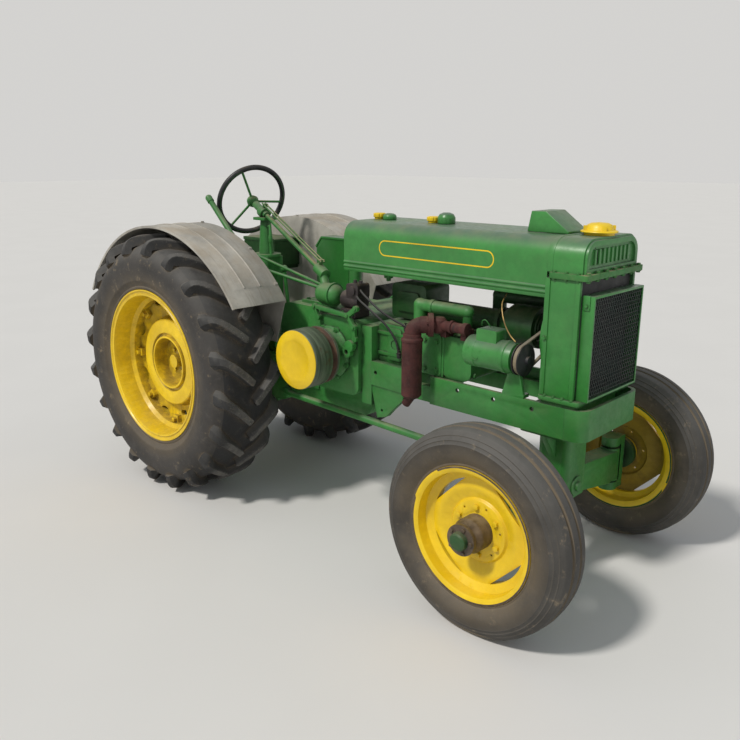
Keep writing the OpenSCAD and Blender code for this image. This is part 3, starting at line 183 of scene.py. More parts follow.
class Finish(Graph):
    """Builds one procedural material on Object coordinates."""

    SOCKETS = {
        "colour": "Base Color",
        "rough": "Roughness",
        "metal": "Metallic",
        "coat": "Coat Weight",
        "coat_rough": "Coat Roughness",
        "specular": "Specular IOR Level",
    }

    def __init__(self, name):
        self.material = bpy.data.materials.new(name)
        self.material.use_nodes = True
        super().__init__(self.material.node_tree)
        self.tree.nodes.clear()
        self.shader = self.add("ShaderNodeBsdfPrincipled")
        self.add("ShaderNodeOutputMaterial", {"Surface": self.shader.outputs[0]})
        self.coords = self.add("ShaderNodeTexCoord").outputs["Object"]
        self.normal = self.add("ShaderNodeNewGeometry").outputs["Normal"]

    def times(self, a, b):
        return self.calc("MULTIPLY", a, b)

    def plus(self, a, b):
        return self.calc("ADD", a, b)

    def most(self, a, b):
        return self.calc("MAXIMUM", a, b)

    def axis(self, vector, which):
        return self.add("ShaderNodeSeparateXYZ", {0: vector}).outputs[which]

    def stretched(self, *scale):
        """Object coordinates scaled along each axis."""
        mapping = {"Vector": self.coords, "Scale": scale}
        return self.add("ShaderNodeMapping", mapping).outputs[0]

    def noise(self, scale, detail, rough, twist=0.0, at=None):
        inputs = {
            "Vector": at or self.coords,
            "Scale": scale,
            "Detail": detail,
            "Roughness": rough,
            "Distortion": twist,
        }
        return self.add("ShaderNodeTexNoise", inputs).outputs["Fac"]

    def steps(self, value, low, high, a=0.0, b=1.0):
        """Maps low to high onto a to b, smoothly."""
        inputs = {"Value": value, "From Min": low, "From Max": high, "To Min": a, "To Max": b}
        node = self.add("ShaderNodeMapRange", inputs, interpolation_type="SMOOTHSTEP")
        return node.outputs["Result"]

    def patches(self, grain, low, high, a=0.0, b=1.0):
        """Noise of a grain, (scale, detail, roughness, distortion), cut into soft patches."""
        return self.steps(self.noise(*grain), low, high, a, b)

    def blend(self, amount, a, b):
        inputs = {"Factor": amount, 6: a, 7: b}
        return self.add("ShaderNodeMix", inputs, data_type="RGBA").outputs[2]

    def facing_up(self, low, high, patches, most=1.0):
        """Patches on the faces that look up, from a low to a high share of upright."""
        up = self.axis(self.normal, 2)
        return self.times(self.steps(up, low, high, 0.0, most), patches)

    def round_axle(self, at):
        """Distance from a wheel's axle line, which runs along Y."""
        x = self.calc("SUBTRACT", self.axis(self.coords, 0), at.x)
        z = self.calc("SUBTRACT", self.axis(self.coords, 2), at.z)
        return self.calc("SQRT", self.plus(self.times(x, x), self.times(z, z)))

    def corners(self, reach):
        """0 in tight corners and 1 in the open."""
        inputs = {"Distance": reach}
        return self.add("ShaderNodeAmbientOcclusion", inputs, samples=6).outputs["AO"]

    def bump(self, height, strength, distance):
        inputs = {"Height": height, "Strength": strength, "Distance": distance}
        bumped = self.add("ShaderNodeBump", inputs)
        self.feed(self.shader.inputs["Normal"], bumped.outputs[0])

    def look(self, **values):
        """Sets the shader's inputs and gives the material."""
        for key, value in values.items():
            self.feed(self.shader.inputs[self.SOCKETS[key]], value)
        return self.material


# Finishes

# Colour of oil stains and of the painted shade in corners.
OIL_AND_SHADE = (0.016, 0.018, 0.014)
# A grey-green, darker than the green paint, laid over faces that look up.
TOP_GREY = (0.082, 0.132, 0.10)
PRIMER = (0.06, 0.045, 0.035)
STREAK, SPECK, PALE = (0.21, 0.17, 0.12), (0.10, 0.085, 0.07), (0.55, 0.53, 0.47)
SCALE, SOOT = (0.085, 0.041, 0.036), (0.022, 0.016, 0.016)
BAND_RUST = (0.13, 0.065, 0.035)
# The second colour here paints the sky's reflection on rubber tops.
SCUFF, SKY_SHEEN = (0.115, 0.105, 0.095), (0.15, 0.145, 0.135)
TREAD_GREY, TREAD_PALE, GRIT = (0.125, 0.118, 0.108), (0.36, 0.34, 0.30), (0.30, 0.27, 0.22)


def shade(colour, k):
    return tuple(min(1.0, c * k) for c in colour)


def painted(
    name, colour, dust, gloss=0.3, dusty=0.5, grime_and_shade=0.5, chips=0.25,
    cast=0.0, mottling=0.35, top_greying=0.0, reach=0.045, soil_and_shade=OIL_AND_SHADE,
):
    """Old enamel: greyer on top, dusty on ledges, darkened in corners by painted shade and oil, and
    chipped to dark primer.
    """
    f = Finish(name)
    cloud = f.noise(4.5, 5, 0.6)
    body = f.blend(f.steps(cloud, 0.3, 0.72), shade(colour, 0.78), shade(colour, 1.12))
    mottle = f.noise(42, 5, 0.65)
    body = f.blend(f.steps(mottle, 0.35, 0.7, 0.0, mottling), body, shade(colour, 0.62))
    # Faces that look up are made a darker grey-green, in patches.
    greyed_top = f.facing_up(0.3, 0.92, f.patches((6, 5, 0.65), 0.2, 0.55, 0.55, 1.0))
    body = f.blend(f.times(greyed_top, top_greying), body, TOP_GREY)
    ledge = f.facing_up(0.25, 1.0, f.patches((9, 6, 0.7), 0.36, 0.66))
    veil = f.patches((15, 7, 0.72, 0.4), 0.42, 0.75)
    dirt = f.plus(f.times(ledge, dusty), f.times(veil, dusty * 0.16))
    body = f.blend(dirt, body, dust)
    # Corners darkened by ambient occlusion: painted shade, mixed with oil stains.
    corner_shade_and_oil = f.times(f.steps(f.corners(reach), 0.95, 0.35), f.patches((24, 5, 0.6), 0.25, 0.6))
    stain = f.patches((7, 6, 0.68, 0.8), 0.6, 0.8, 0.0, 0.6)
    body = f.blend(f.times(f.most(corner_shade_and_oil, stain), grime_and_shade), body, soil_and_shade)
    body = f.blend(f.patches((85, 8, 0.72), 0.69, 0.72, 0.0, chips), body, PRIMER)
    rough = f.plus(f.times(dirt, 0.5), f.steps(mottle, 0.3, 0.7, gloss, gloss + 0.16))
    fine = f.times(f.noise(320 if cast else 620, 3, 0.5), 0.35 + cast)
    wave = f.times(f.noise(38, 3, 0.5), 0.9 + cast)
    f.bump(f.plus(fine, wave), 0.16 + 0.4 * cast, 0.0012)
    return f.look(colour=body, rough=rough, metal=0.0, coat=0.03 if cast else 0.12, coat_rough=0.25)


def bare_sheet(name, colour, dust):
    """Weathered sheet steel: grey-brown, streaked down and speckled."""
    f = Finish(name)
    cloud = f.noise(5, 7, 0.65)
    body = f.blend(f.steps(cloud, 0.32, 0.7), shade(colour, 0.7), shade(colour, 1.22))
    streak = f.noise(10, 5, 0.6, 0.2, f.stretched(1.0, 7.0, 0.35))
    body = f.blend(f.steps(streak, 0.48, 0.72, 0.0, 0.36), body, STREAK)
    body = f.blend(f.patches((130, 6, 0.7), 0.62, 0.7, 0.0, 0.5), body, SPECK)
    body = f.blend(f.patches((55, 6, 0.7), 0.62, 0.74, 0.0, 0.4), body, PALE)
    ledge = f.facing_up(0.3, 1.0, f.patches((8, 5, 0.6), 0.38, 0.66, 0.0, 0.4))
    body = f.blend(ledge, body, shade(dust, 1.1))
    f.bump(f.plus(f.noise(260, 4, 0.6), f.times(cloud, 2.2)), 0.2, 0.0015)
    rough = f.steps(cloud, 0.3, 0.7, 0.5, 0.72)
    return f.look(colour=body, rough=rough, metal=0.12, specular=0.4)


def rusted(name, colour, dust):
    """Scaled, heat-browned iron."""
    f = Finish(name)
    cloud = f.noise(16, 7, 0.68)
    body = f.blend(f.steps(cloud, 0.3, 0.7), shade(colour, 0.55), shade(colour, 1.35))
    scale = f.patches((75, 7, 0.7), 0.5, 0.68, 0.0, 0.6)
    body = f.blend(scale, body, SCALE)
    body = f.blend(f.patches((30, 5, 0.6, 0.6), 0.56, 0.74, 0.0, 0.7), body, SOOT)
    ledge = f.facing_up(0.4, 1.0, f.patches((20, 5, 0.6), 0.4, 0.66, 0.0, 0.3))
    body = f.blend(ledge, body, shade(dust, 0.7))
    f.bump(f.plus(f.noise(420, 5, 0.65), f.times(scale, 1.2)), 0.45, 0.0012)
    rough = f.steps(cloud, 0.3, 0.7, 0.66, 0.85)
    return f.look(colour=body, rough=rough, metal=0.1, specular=0.35)


def dark_iron(name, colour, dust, dusty=0.35):
    """Dark oily castings and old black paint."""
    f = Finish(name)
    cloud = f.noise(14, 6, 0.65)
    body = f.blend(f.steps(cloud, 0.35, 0.7), shade(colour, 0.7), shade(colour, 1.7))
    ledge = f.facing_up(0.2, 1.0, f.patches((22, 6, 0.7), 0.35, 0.66, 0.0, dusty))
    veil = f.patches((28, 7, 0.72), 0.5, 0.78, 0.0, dusty * 0.5)
    body = f.blend(f.plus(ledge, veil), body, shade(dust, 0.7))
    f.bump(f.plus(f.noise(380, 4, 0.6), f.times(cloud, 1.4)), 0.3, 0.0012)
    rough = f.steps(cloud, 0.3, 0.7, 0.36, 0.62)
    return f.look(colour=body, rough=rough, metal=0.0, specular=0.45)


def worn_steel(name, colour, dust):
    """Bare steel, brushed round by use, with brown rust left in bands and pits."""
    f = Finish(name)
    rings = f.noise(14, 5, 0.6, 0.1, f.stretched(0.5, 9.0, 0.5))
    body = f.blend(f.steps(rings, 0.38, 0.66), shade(colour, 0.66), shade(colour, 1.35))
    body = f.blend(f.patches((20, 7, 0.68), 0.52, 0.7, 0.0, 0.75), body, BAND_RUST)
    f.bump(f.plus(f.noise(500, 4, 0.6), f.times(rings, 0.8)), 0.25, 0.001)
    rough = f.steps(rings, 0.3, 0.7, 0.36, 0.62)
    return f.look(colour=body, rough=rough, metal=0.35, specular=0.5)


def old_rubber(name, colour, dust, dusty=0.5, wheel=None):
    """Greyed rubber with dust, fine cracks and a painted sky reflection on top; wheel is (axle, rim
    radius, tread radius).
    """
    f = Finish(name)
    cloud = f.noise(7, 6, 0.62)
    body = f.blend(f.steps(cloud, 0.3, 0.7), shade(colour, 0.78), shade(colour, 1.5))
    body = f.blend(f.patches((26, 8, 0.75, 0.3), 0.5, 0.76, 0.0, 0.4), body, SCUFF)
    # Faces that look up are painted lighter grey: a painted reflection of the sky.
    sky_sheen = f.facing_up(0.0, 0.95, f.patches((12, 6, 0.7), 0.2, 0.6, 0.35, 1.0), 0.6)
    body = f.blend(sky_sheen, body, SKY_SHEEN)
    if wheel:
        axle, rim, crown = wheel
        far = f.round_axle(axle)
        for low, high, patches, grey in (
            (crown - 0.012, crown - 0.001, ((34, 6, 0.7), 0.3, 0.62, 0.25, 0.85), TREAD_GREY),
            (crown - 0.02, crown, ((150, 6, 0.75), 0.56, 0.68, 0.0, 0.7), TREAD_PALE),
            (rim + 0.10, rim + 0.01, ((5, 6, 0.65), 0.3, 0.62, 0.1, 0.6), shade(dust, 0.34)),
        ):
            band = f.times(f.steps(far, low, high), f.patches(*patches))
            body = f.blend(band, body, grey)
    corner = f.steps(f.corners(0.03), 0.95, 0.45, 0.0, 0.6)
    caked = f.most(corner, f.patches((18, 8, 0.75), 0.56, 0.72, 0.0, 0.75))
    body = f.blend(f.times(caked, dusty), body, shade(dust, 0.62))
    body = f.blend(f.patches((210, 5, 0.7), 0.66, 0.72, 0.0, 0.45 * dusty), body, GRIT)
    crack = f.patches((120, 6, 0.7, 0.9), 0.55, 0.48)
    f.bump(f.plus(f.times(f.noise(700, 3, 0.5), 0.6), f.times(crack, 0.5)), 0.28, 0.001)
    rough = f.steps(cloud, 0.3, 0.7, 0.6, 0.8)
    return f.look(colour=body, rough=rough, metal=0.0, specular=0.35)


def floor_finish(name, colour):
    f = Finish(name)
    body = f.blend(f.patches((1.5, 3, 0.5), 0.35, 0.65), shade(colour, 0.985), colour)
    return f.look(colour=body, rough=0.75, specular=0.25)


REAR_RUBBER = (REAR_AT, 0.341, REAR_R)
FRONT_RUBBER = (FRONT_AT, 0.221, FRONT_R)


def finish(kind):
    """The material of one kind, made the first time that it is asked for."""
    name = kind + "_finish"
    if name in bpy.data.materials:
        return bpy.data.materials[name]
    chosen = bpy.context.scene.tractor_colours
    green, yellow, dust = tuple(chosen.green), tuple(chosen.yellow), tuple(chosen.dust)
    wall_dust = shade(dust, 1.3)
    makers = {
        "green_enamel": lambda: painted(
            name, green, dust, gloss=0.3, dusty=0.2, grime_and_shade=0.35, chips=0.2, top_greying=0.8,
        ),
        "green_casting": lambda: painted(
            name, shade(green, 0.92), dust,
            gloss=0.42, dusty=0.42, grime_and_shade=0.75, chips=0.3, cast=0.5, top_greying=0.4,
        ),
        # A darkened copy of the green paint: painted shade on pieces that stand in shadow.
        "dark_green": lambda: painted(
            name, shade(green, 0.3), dust, gloss=0.45, dusty=0.35, grime_and_shade=0.8, chips=0.3, cast=0.3,
        ),
        "dusty_green": lambda: painted(
            name, shade(green, 0.8), dust, gloss=0.5, dusty=1.0, grime_and_shade=0.5, chips=0.3, cast=0.3,
        ),
        "yellow_enamel": lambda: painted(
            name, yellow, (0.42, 0.29, 0.09),
            gloss=0.34, dusty=0.26, grime_and_shade=0.24, chips=0.2, mottling=0.14,
        ),
        # Rear wheels' inside: a long ambient-occlusion reach paints broad shade in the rim's well,
        # with brown dirt.
        "worn_yellow": lambda: painted(
            name, yellow, (0.36, 0.24, 0.08),
            gloss=0.36, dusty=0.4, grime_and_shade=0.8, chips=0.3, mottling=0.28,
            reach=0.15, soil_and_shade=(0.12, 0.07, 0.018),
        ),
        # A darkened yellow with dirt: paints the shade on the front wheels' inner sides, with
        # grime.
        "grimy_yellow": lambda: painted(
            name, (0.36, 0.24, 0.012), (0.10, 0.075, 0.04),
            gloss=0.5, dusty=0.8, grime_and_shade=0.9, chips=0.4, cast=0.2, mottling=0.5,
        ),
        "dark_iron": lambda: dark_iron(name, tuple(chosen.iron), dust),
        "dark_mesh": lambda: dark_iron(name, (0.014, 0.026, 0.022), dust, 0.25),
        "greasy_iron": lambda: dark_iron(name, (0.085, 0.06, 0.038), dust, 0.6),
        "magneto_iron": lambda: dark_iron(name, (0.029, 0.022, 0.022), dust, 0.4),
        "worn_steel": lambda: worn_steel(name, tuple(chosen.steel), dust),
        "drum_iron": lambda: worn_steel(name, (0.125, 0.155, 0.105), dust),
        "brass": lambda: worn_steel(name, (0.42, 0.28, 0.10), dust),
        "rusty_iron": lambda: rusted(name, tuple(chosen.rust), dust),
        "drum_rust": lambda: rusted(name, (0.095, 0.052, 0.032), dust),
        "bare_sheet": lambda: bare_sheet(name, tuple(chosen.sheet), dust),
        "tyre_rubber": lambda: old_rubber(name, tuple(chosen.rubber), dust),
        "rear_lugs": lambda: old_rubber(name, (0.026, 0.026, 0.026), dust, 0.7, REAR_RUBBER),
        "dusty_wall": lambda: old_rubber(name, (0.040, 0.037, 0.034), wall_dust, 0.9, REAR_RUBBER),
        "front_wall": lambda: old_rubber(name, (0.042, 0.039, 0.035), wall_dust, 0.9, FRONT_RUBBER),
        "dusty_rubber": lambda: old_rubber(name, (0.055, 0.052, 0.047), shade(dust, 1.5), 0.9),
        "hose_rubber": lambda: old_rubber(name, (0.018, 0.018, 0.019), dust, 0.25),
        "belt_cloth": lambda: old_rubber(name, (0.30, 0.25, 0.16), dust, 0.7),
    }
    return makers[kind]()


SLOT_FINISH = {
    "green_paint": "green_casting",
    "yellow_paint": "yellow_enamel",
    "weathered_sheet": "bare_sheet",
    "rusty_iron": "rusty_iron",
    "dark_iron": "dark_iron",
    "worn_iron": "worn_steel",
    "tyre": "tyre_rubber",
    "belt": "belt_cloth",
}


# Mesh helpers


def settle(mesh, angle):
    """Smooth faces with sharp edges where they turn by more than the angle."""
    mesh.shade_smooth()
    mesh.set_sharp_from_angle(angle=math.radians(angle))


def linked(name, data):
    """A new object in the scene."""
    made = bpy.data.objects.new(name, data)
    bpy.context.scene.collection.objects.link(made)
    return made


def place_piece(name, mesh, body, material, node=None):
    """Puts a finished mesh in the scene as a piece that rides on a body."""
    piece = linked(name, mesh)
    piece.data.materials.clear()
    piece.data.materials.append(finish(material))
    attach(piece, body)
    if node:
        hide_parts(node)
    return piece


def applied(piece):
    """The piece with its modifiers made real."""
    bpy.context.view_layer.update()
    graph = bpy.context.evaluated_depsgraph_get()
    mesh = bpy.data.meshes.new_from_object(
        piece.evaluated_get(graph), preserve_all_data_layers=True, depsgraph=graph
    )
    old = piece.data
    piece.modifiers.clear()
    piece.data = mesh
    if old.users == 0:
        bpy.data.meshes.remove(old)
    return piece


def rounded(mesh, width, segments=2, limit=28, smooth=38):
    """A copy of the mesh with its sharp edges rounded."""
    helper = linked("rounding", mesh)
    bevel = helper.modifiers.new("round", "BEVEL")
    bevel.width = width
    bevel.segments = segments
    bevel.limit_method = "ANGLE"
    bevel.angle_limit = math.radians(limit)
    bevel.use_clamp_overlap = True
    bevel.miter_outer = "MITER_ARC"
    applied(helper)
    mesh = helper.data
    bpy.data.objects.remove(helper)
    settle(mesh, smooth)
    return mesh


def welded_copy(node):
    """The CAD node's mesh as one closed, welded mesh with flat faces joined."""
    bm = bmesh.new()
    bm.from_mesh(frame["nodes"][node].data)
    bmesh.ops.remove_doubles(bm, verts=bm.verts, dist=2e-5)
    bmesh.ops.dissolve_degenerate(bm, edges=bm.edges, dist=1e-6)
    flat = math.radians(0.8)
    bmesh.ops.dissolve_limit(bm, angle_limit=flat, verts=bm.verts, edges=bm.edges)
    mesh = bpy.data.meshes.new(node + "_look")
    bm.to_mesh(mesh)
    bm.free()
    for name in [a.name for a in mesh.attributes if a.name == "custom_normal"]:
        mesh.attributes.remove(mesh.attributes[name])
    return mesh


def carried(node, material=None, width=None, segments=2, limit=28, smooth=38):
    """A piece with a CAD node's own shape, its edges rounded, in its own finish."""
    if width is None:
        width = bpy.context.scene.tractor_sizes.edge_round
    mesh = rounded(welded_copy(node), width, segments, limit, smooth)
    slot = SLOT_OF[node]
    look = material or SLOT_FINISH[slot]
    return place_piece(node + "_look", mesh, BODY_OF[node], look, node)


def repaint(piece, material, test):
    """Gives the faces that pass a test of (centre, normal) another finish."""
    piece.data.materials.append(finish(material))
    slot = len(piece.data.materials) - 1
    for face in piece.data.polygons:
        if test(face.center, face.normal):
            face.material_index = slot


def off_axle(point, axle):
    """Distance of a point from a wheel's axle line."""
    return math.hypot(point.x - axle.x, point.z - axle.z)


def bm_mesh(bm, name, angle=38):
    bmesh.ops.recalc_face_normals(bm, faces=bm.faces)
    mesh = bpy.data.meshes.new(name)
    bm.to_mesh(mesh)
    bm.free()
    settle(mesh, angle)
    return mesh


def skin(bm, rings, loop=True):
    """Joins each row of vertices to the next. A loop also joins a row's ends."""
    n = len(rings[0])
    for a, b in zip(rings, rings[1:]):
        for k in range(n if loop else n - 1):
            m = (k + 1) % n
            bm.faces.new((a[k], a[m], b[m], b[k]))


def turn(bm, profile, steps, centre, side):
    """Revolves points of (radius, distance outwards) about the Y axis through centre."""
    rings = []
    for i in range(steps):
        a = math.tau * i / steps
        c, s = math.cos(a), math.sin(a)
        rings.append([
            bm.verts.new((centre[0] + r * c, centre[1] + side * t, centre[2] + r * s))
            for r, t in profile
        ])
    skin(bm, rings + rings[:1])


def tube(bm, path, radius, sides=12):
    """A round tube with closed ends along a list of points."""
    rings = []
    up = Vector((0, 0, 1))
    for i, p in enumerate(path):
        ahead = (path[min(i + 1, len(path) - 1)] - path[max(i - 1, 0)]).normalized()
        across = ahead.cross(up)
        if across.length < 0.05:
            across = ahead.cross(Vector((0, 1, 0)))
        across.normalize()
        over = across.cross(ahead)
        angles = [math.tau * k / sides for k in range(sides)]
        rings.append([
            bm.verts.new(p + (across * math.cos(a) + over * math.sin(a)) * radius)
            for a in angles
        ])
    skin(bm, rings)
    bm.faces.new(rings[0])
    bm.faces.new(rings[-1])


def curve_points(points, each=8):
    """A smooth path through a few points."""
    out = []
    p = [points[0]] + list(points) + [points[-1]]
    for i in range(1, len(p) - 2):
        a, b, c, d = p[i - 1:i + 3]
        for k in range(each):
            t = k / each
            bend = (2 * a - 5 * b + 4 * c - d) * t * t
            twist = (3 * b - a - 3 * c + d) * t ** 3
            out.append(0.5 * ((2 * b) + (c - a) * t + bend + twist))
    out.append(p[-2])
    return out


def slab(bm, lo, hi):
    """A box between two corners."""
    xs, ys, zs = zip(lo, hi)
    corners = [bm.verts.new((x, y, z)) for x in xs for y in ys for z in zs]
    sides = ((0, 1, 3, 2), (4, 6, 7, 5), (0, 4, 5, 1), (2, 3, 7, 6), (0, 2, 6, 4), (1, 5, 7, 3))
    for side in sides:
        bm.faces.new([corners[i] for i in side])


# Geometry Nodes


def new_group(name, inputs):
    """A node group with a geometry input, named inputs and a geometry output."""
    tree = bpy.data.node_groups.new(name, "GeometryNodeTree")
    face = tree.interface
    face.new_socket("Geometry", in_out="INPUT", socket_type="NodeSocketGeometry")
    for label, kind, value in inputs:
        socket = face.new_socket(label, in_out="INPUT", socket_type="NodeSocket" + kind)
        if value is not None:
            socket.default_value = value
    face.new_socket("Geometry", in_out="OUTPUT", socket_type="NodeSocketGeometry")
    graph = Graph(tree)
    return graph, graph.add("NodeGroupInput").outputs


def end_group(graph, given, **inputs):
    """Copies a shape onto points, makes the copies real and sets their finish."""
    copies = graph.add("GeometryNodeInstanceOnPoints", inputs)
    real = graph.add("GeometryNodeRealizeInstances", {0: copies.outputs[0]})
    finished = {"Geometry": real.outputs[0], "Material": given["Finish"]}
    paint = graph.add("GeometryNodeSetMaterial", finished)
    graph.add("NodeGroupOutput", {0: paint.outputs[0]})
    return graph.tree


def grown(piece, tree, values):
    """Runs a node group on a piece and keeps the result as a plain mesh."""
    modifier = piece.modifiers.new("grow", "NODES")
    modifier.node_group = tree
    for item in tree.interface.items_tree:
        if item.item_type == "SOCKET" and item.in_out == "INPUT" and item.name in values:
            modifier[item.identifier] = values[item.name]
    return applied(piece)


def ring_tree():
    """Repeats a shape round the Y axis, with a phase, and sets its material."""
    name = "repeat_round_axle"
    if name in bpy.data.node_groups:
        return bpy.data.node_groups[name]
    graph, given = new_group(name, (
        ("Count", "Int", 20),
        ("Phase", "Float", 0.0),
        ("Finish", "Material", None),
    ))
    points = graph.add("GeometryNodePoints", {"Count": given["Count"]})
    index = graph.add("GeometryNodeInputIndex").outputs[0]
    share = graph.calc("DIVIDE", index, given["Count"])
    angle = graph.calc("MULTIPLY_ADD", share, math.tau, given["Phase"])
    return end_group(
        graph,
        given,
        Points=points.outputs[0],
        Instance=given["Geometry"],
        Rotation=graph.add("ShaderNodeCombineXYZ", {"Y": angle}).outputs[0],
    )


def bolt_tree():
    """Puts a hex bolt head on a washer at every point, facing the point's own way."""
    name = "bolt_heads"
    if name in bpy.data.node_groups:
        return bpy.data.node_groups[name]
    graph, given = new_group(name, (
        ("Head Radius", "Float", 0.0095),
        ("Head Height", "Float", 0.006),
        ("Finish", "Material", None),
    ))
    radius = given["Head Radius"]
    head = graph.add("GeometryNodeMeshCone", {
        "Vertices": 6,
        "Radius Bottom": radius,
        "Radius Top": graph.calc("MULTIPLY", radius, 0.93),
        "Depth": given["Head Height"],
    })
    wide = graph.calc("MULTIPLY", radius, 1.35)
    washer = graph.add("GeometryNodeMeshCone", {
        "Vertices": 16,
        "Radius Bottom": wide,
        "Radius Top": wide,
        "Depth": 0.0016,
    })
    lifted = graph.add("GeometryNodeTransform", {
        "Geometry": head.outputs["Mesh"],
        "Translation": (0, 0, 0.0012),
    })
    both = graph.add("GeometryNodeJoinGeometry", {0: lifted.outputs[0]})
    graph.feed(both.inputs[0], washer.outputs["Mesh"])
    attribute = "GeometryNodeInputNamedAttribute"
    facing = graph.add(attribute, {"Name": "facing"}, data_type="FLOAT_VECTOR")
    size = graph.add(attribute, {"Name": "size"}, data_type="FLOAT")
    facing_way = {"Vector": facing.outputs["Attribute"]}
    return end_group(
        graph,
        given,
        Points=given["Geometry"],
        Instance=both.outputs[0],
        Rotation=graph.add("FunctionNodeAlignRotationToVector", facing_way, axis="Z").outputs[0],
        Scale=size.outputs["Attribute"],
    )


def mesh_tree():
    """Repeats one mesh of stretched sheet over a grid in Y and Z."""
    name = "stretched_mesh"
    if name in bpy.data.node_groups:
        return bpy.data.node_groups[name]
    graph, given = new_group(name, (
        ("Across", "Int", 10),
        ("Up", "Int", 10),
        ("Width", "Float", 0.01),
        ("Height", "Float", 0.028),
        ("Corner", "Vector", None),
        ("Finish", "Material", None),
    ))
    total = graph.calc("MULTIPLY", given["Across"], given["Up"])
    points = graph.add("GeometryNodePoints", {"Count": total})
    index = graph.add("GeometryNodeInputIndex").outputs[0]
    column = graph.calc("MODULO", index, given["Across"])
    level = graph.calc("FLOOR", graph.calc("DIVIDE", index, given["Across"]))
    place = graph.add("ShaderNodeCombineXYZ", {
        "Y": graph.calc("MULTIPLY", column, given["Width"]),
        "Z": graph.calc("MULTIPLY", level, given["Height"]),
    })
    moved = {0: place.outputs[0], 1: given["Corner"]}
    placed = graph.add("GeometryNodeSetPosition", {
        "Geometry": points.outputs[0],
        "Position": graph.add("ShaderNodeVectorMath", moved, operation="ADD").outputs[0],
    })
    return end_group(graph, given, Points=placed.outputs[0], Instance=given["Geometry"])


def bolts(name, body, places, material, radius=None):
    """Bolt heads at places of (point, facing, size), as one piece."""
    mesh = bpy.data.meshes.new(name)
    mesh.from_pydata([tuple(p[0]) for p in places], [], [])
    facing = mesh.attributes.new("facing", "FLOAT_VECTOR", "POINT")
    facing.data.foreach_set("vector", [v for p in places for v in p[1]])
    size = mesh.attributes.new("size", "FLOAT", "POINT")
    size.data.foreach_set("value", [p[2] for p in places])
    piece = linked(name, mesh)
    head = bpy.context.scene.tractor_sizes.bolt_head if radius is None else radius
    values = {"Head Radius": head, "Head Height": head * 0.75, "Finish": finish(material)}
    grown(piece, bolt_tree(), values)
    for label in ("facing", "size"):
        if label in piece.data.attributes:
            piece.data.attributes.remove(piece.data.attributes[label])
    settle(piece.data, 30)
    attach(piece, body)
    return piece


def row(start, end, count, facing, size=1.0):
    """Places along a line, for bolts."""
    return [(start.lerp(end, i / max(1, count - 1)), facing, size) for i in range(count)]


def circle(centre, radius, count, axis, phase=0.0, size=1.0):
    """Places round a circle, for bolts. axis is the unit way that the heads face."""
    axis = Vector(axis)
    aside = Vector((0, 0, 1)) if abs(axis.z) < 0.9 else Vector((1, 0, 0))
    a = axis.cross(aside).normalized()
    b = axis.cross(a)
    places = []
    for i in range(count):
        angle = phase + math.tau * i / count
        out = (a * math.cos(angle) + b * math.sin(angle)) * radius
        places.append((centre + out, tuple(axis), size))
    return places


# Pieces


def tyre_body(kind, side, half, inner, angle, material):
    """A tyre's body, revolved from the outer half of its section and its inner wall."""
    node = of_side(kind, side)
    bm = bmesh.new()
    section = half + [(r, -t) for r, t in reversed(half)] + inner
    turn(bm, section, 128, middle(node), side)
    mesh = bm_mesh(bm, node + "_body", angle)
    return place_piece(node + "_body", mesh, BODY_OF[node], material, node)


# across the tread, along the lug's curve, drop of its top, depth of its foot, foot drawn in
LUG_STATIONS = (
    (0.003, 0.003, -0.004, 0.040, 0.0),
    (0.009, 0.009, 0.0, 0.042, 0.0),
    (0.045, 0.044, 0.0, 0.042, 0.0),
    (0.082, 0.078, -0.001, 0.044, 0.0),
    (0.104, 0.096, -0.004, 0.042, 0.002),
    (0.122, 0.109, -0.009, 0.040, 0.006),
    (0.137, 0.118, -0.017, 0.034, 0.012),
    (0.148, 0.124, -0.030, 0.026, 0.017),
    (0.155, 0.128, -0.046, 0.018, 0.021),
    (0.1585, 0.130, -0.062, 0.010, 0.024),
    (0.1590, 0.1305, -0.074, 0.004, 0.024),
)
LUG_SLANT, LUG_BEND = 44, 5.5  # degrees off the tread's width, and less at each later station
LUG_EDGE = 0.0022


def lug_mesh(name, side, half):
    """One lug of half a rear tread, round the wheel's own axle."""
    sizes = bpy.context.scene.tractor_sizes
    r, w = REAR_R, REAR_W / 2
    bm = bmesh.new()
    rings = []
    for k, (t, along, drop, sink, draw) in enumerate(LUG_STATIONS):
        past = max(0, k - 3)
        a = along / r
        top_r = r + drop
        deep_r = top_r - sink
        slant = math.radians(LUG_SLANT - LUG_BEND * past)
        ca, sa = math.cos(slant), math.sin(slant)
        wide = 0.5 * (sizes.lug_width * (0.72 if k == 0 else 1.0 + 0.01 * k + 0.045 * past))
        foot = 0.0075 + 0.0042 * max(0, k - 4)
        flank = [
            (wide - LUG_EDGE, top_r, 0.0),
            (wide, top_r - LUG_EDGE, 0.0),
            (wide + foot, deep_r, draw),
        ]
        ring = []
        for across, radius, pull in [(-x, y, z) for x, y, z in reversed(flank)] + flank:
            angle = a + across * ca / r
            outward = t - across * sa * max(0.0, 1.0 - 0.13 * past) - pull
            outward = max(0.0005, min(w - 0.0004, outward)) * half
            place = radius * math.cos(angle), side * outward, radius * math.sin(angle)
            ring.append(bm.verts.new(place))
        rings.append(ring)
    skin(bm, rings)
    bm.faces.new(rings[0])
    bm.faces.new(rings[-1])
    return bm_mesh(bm, name, 34)


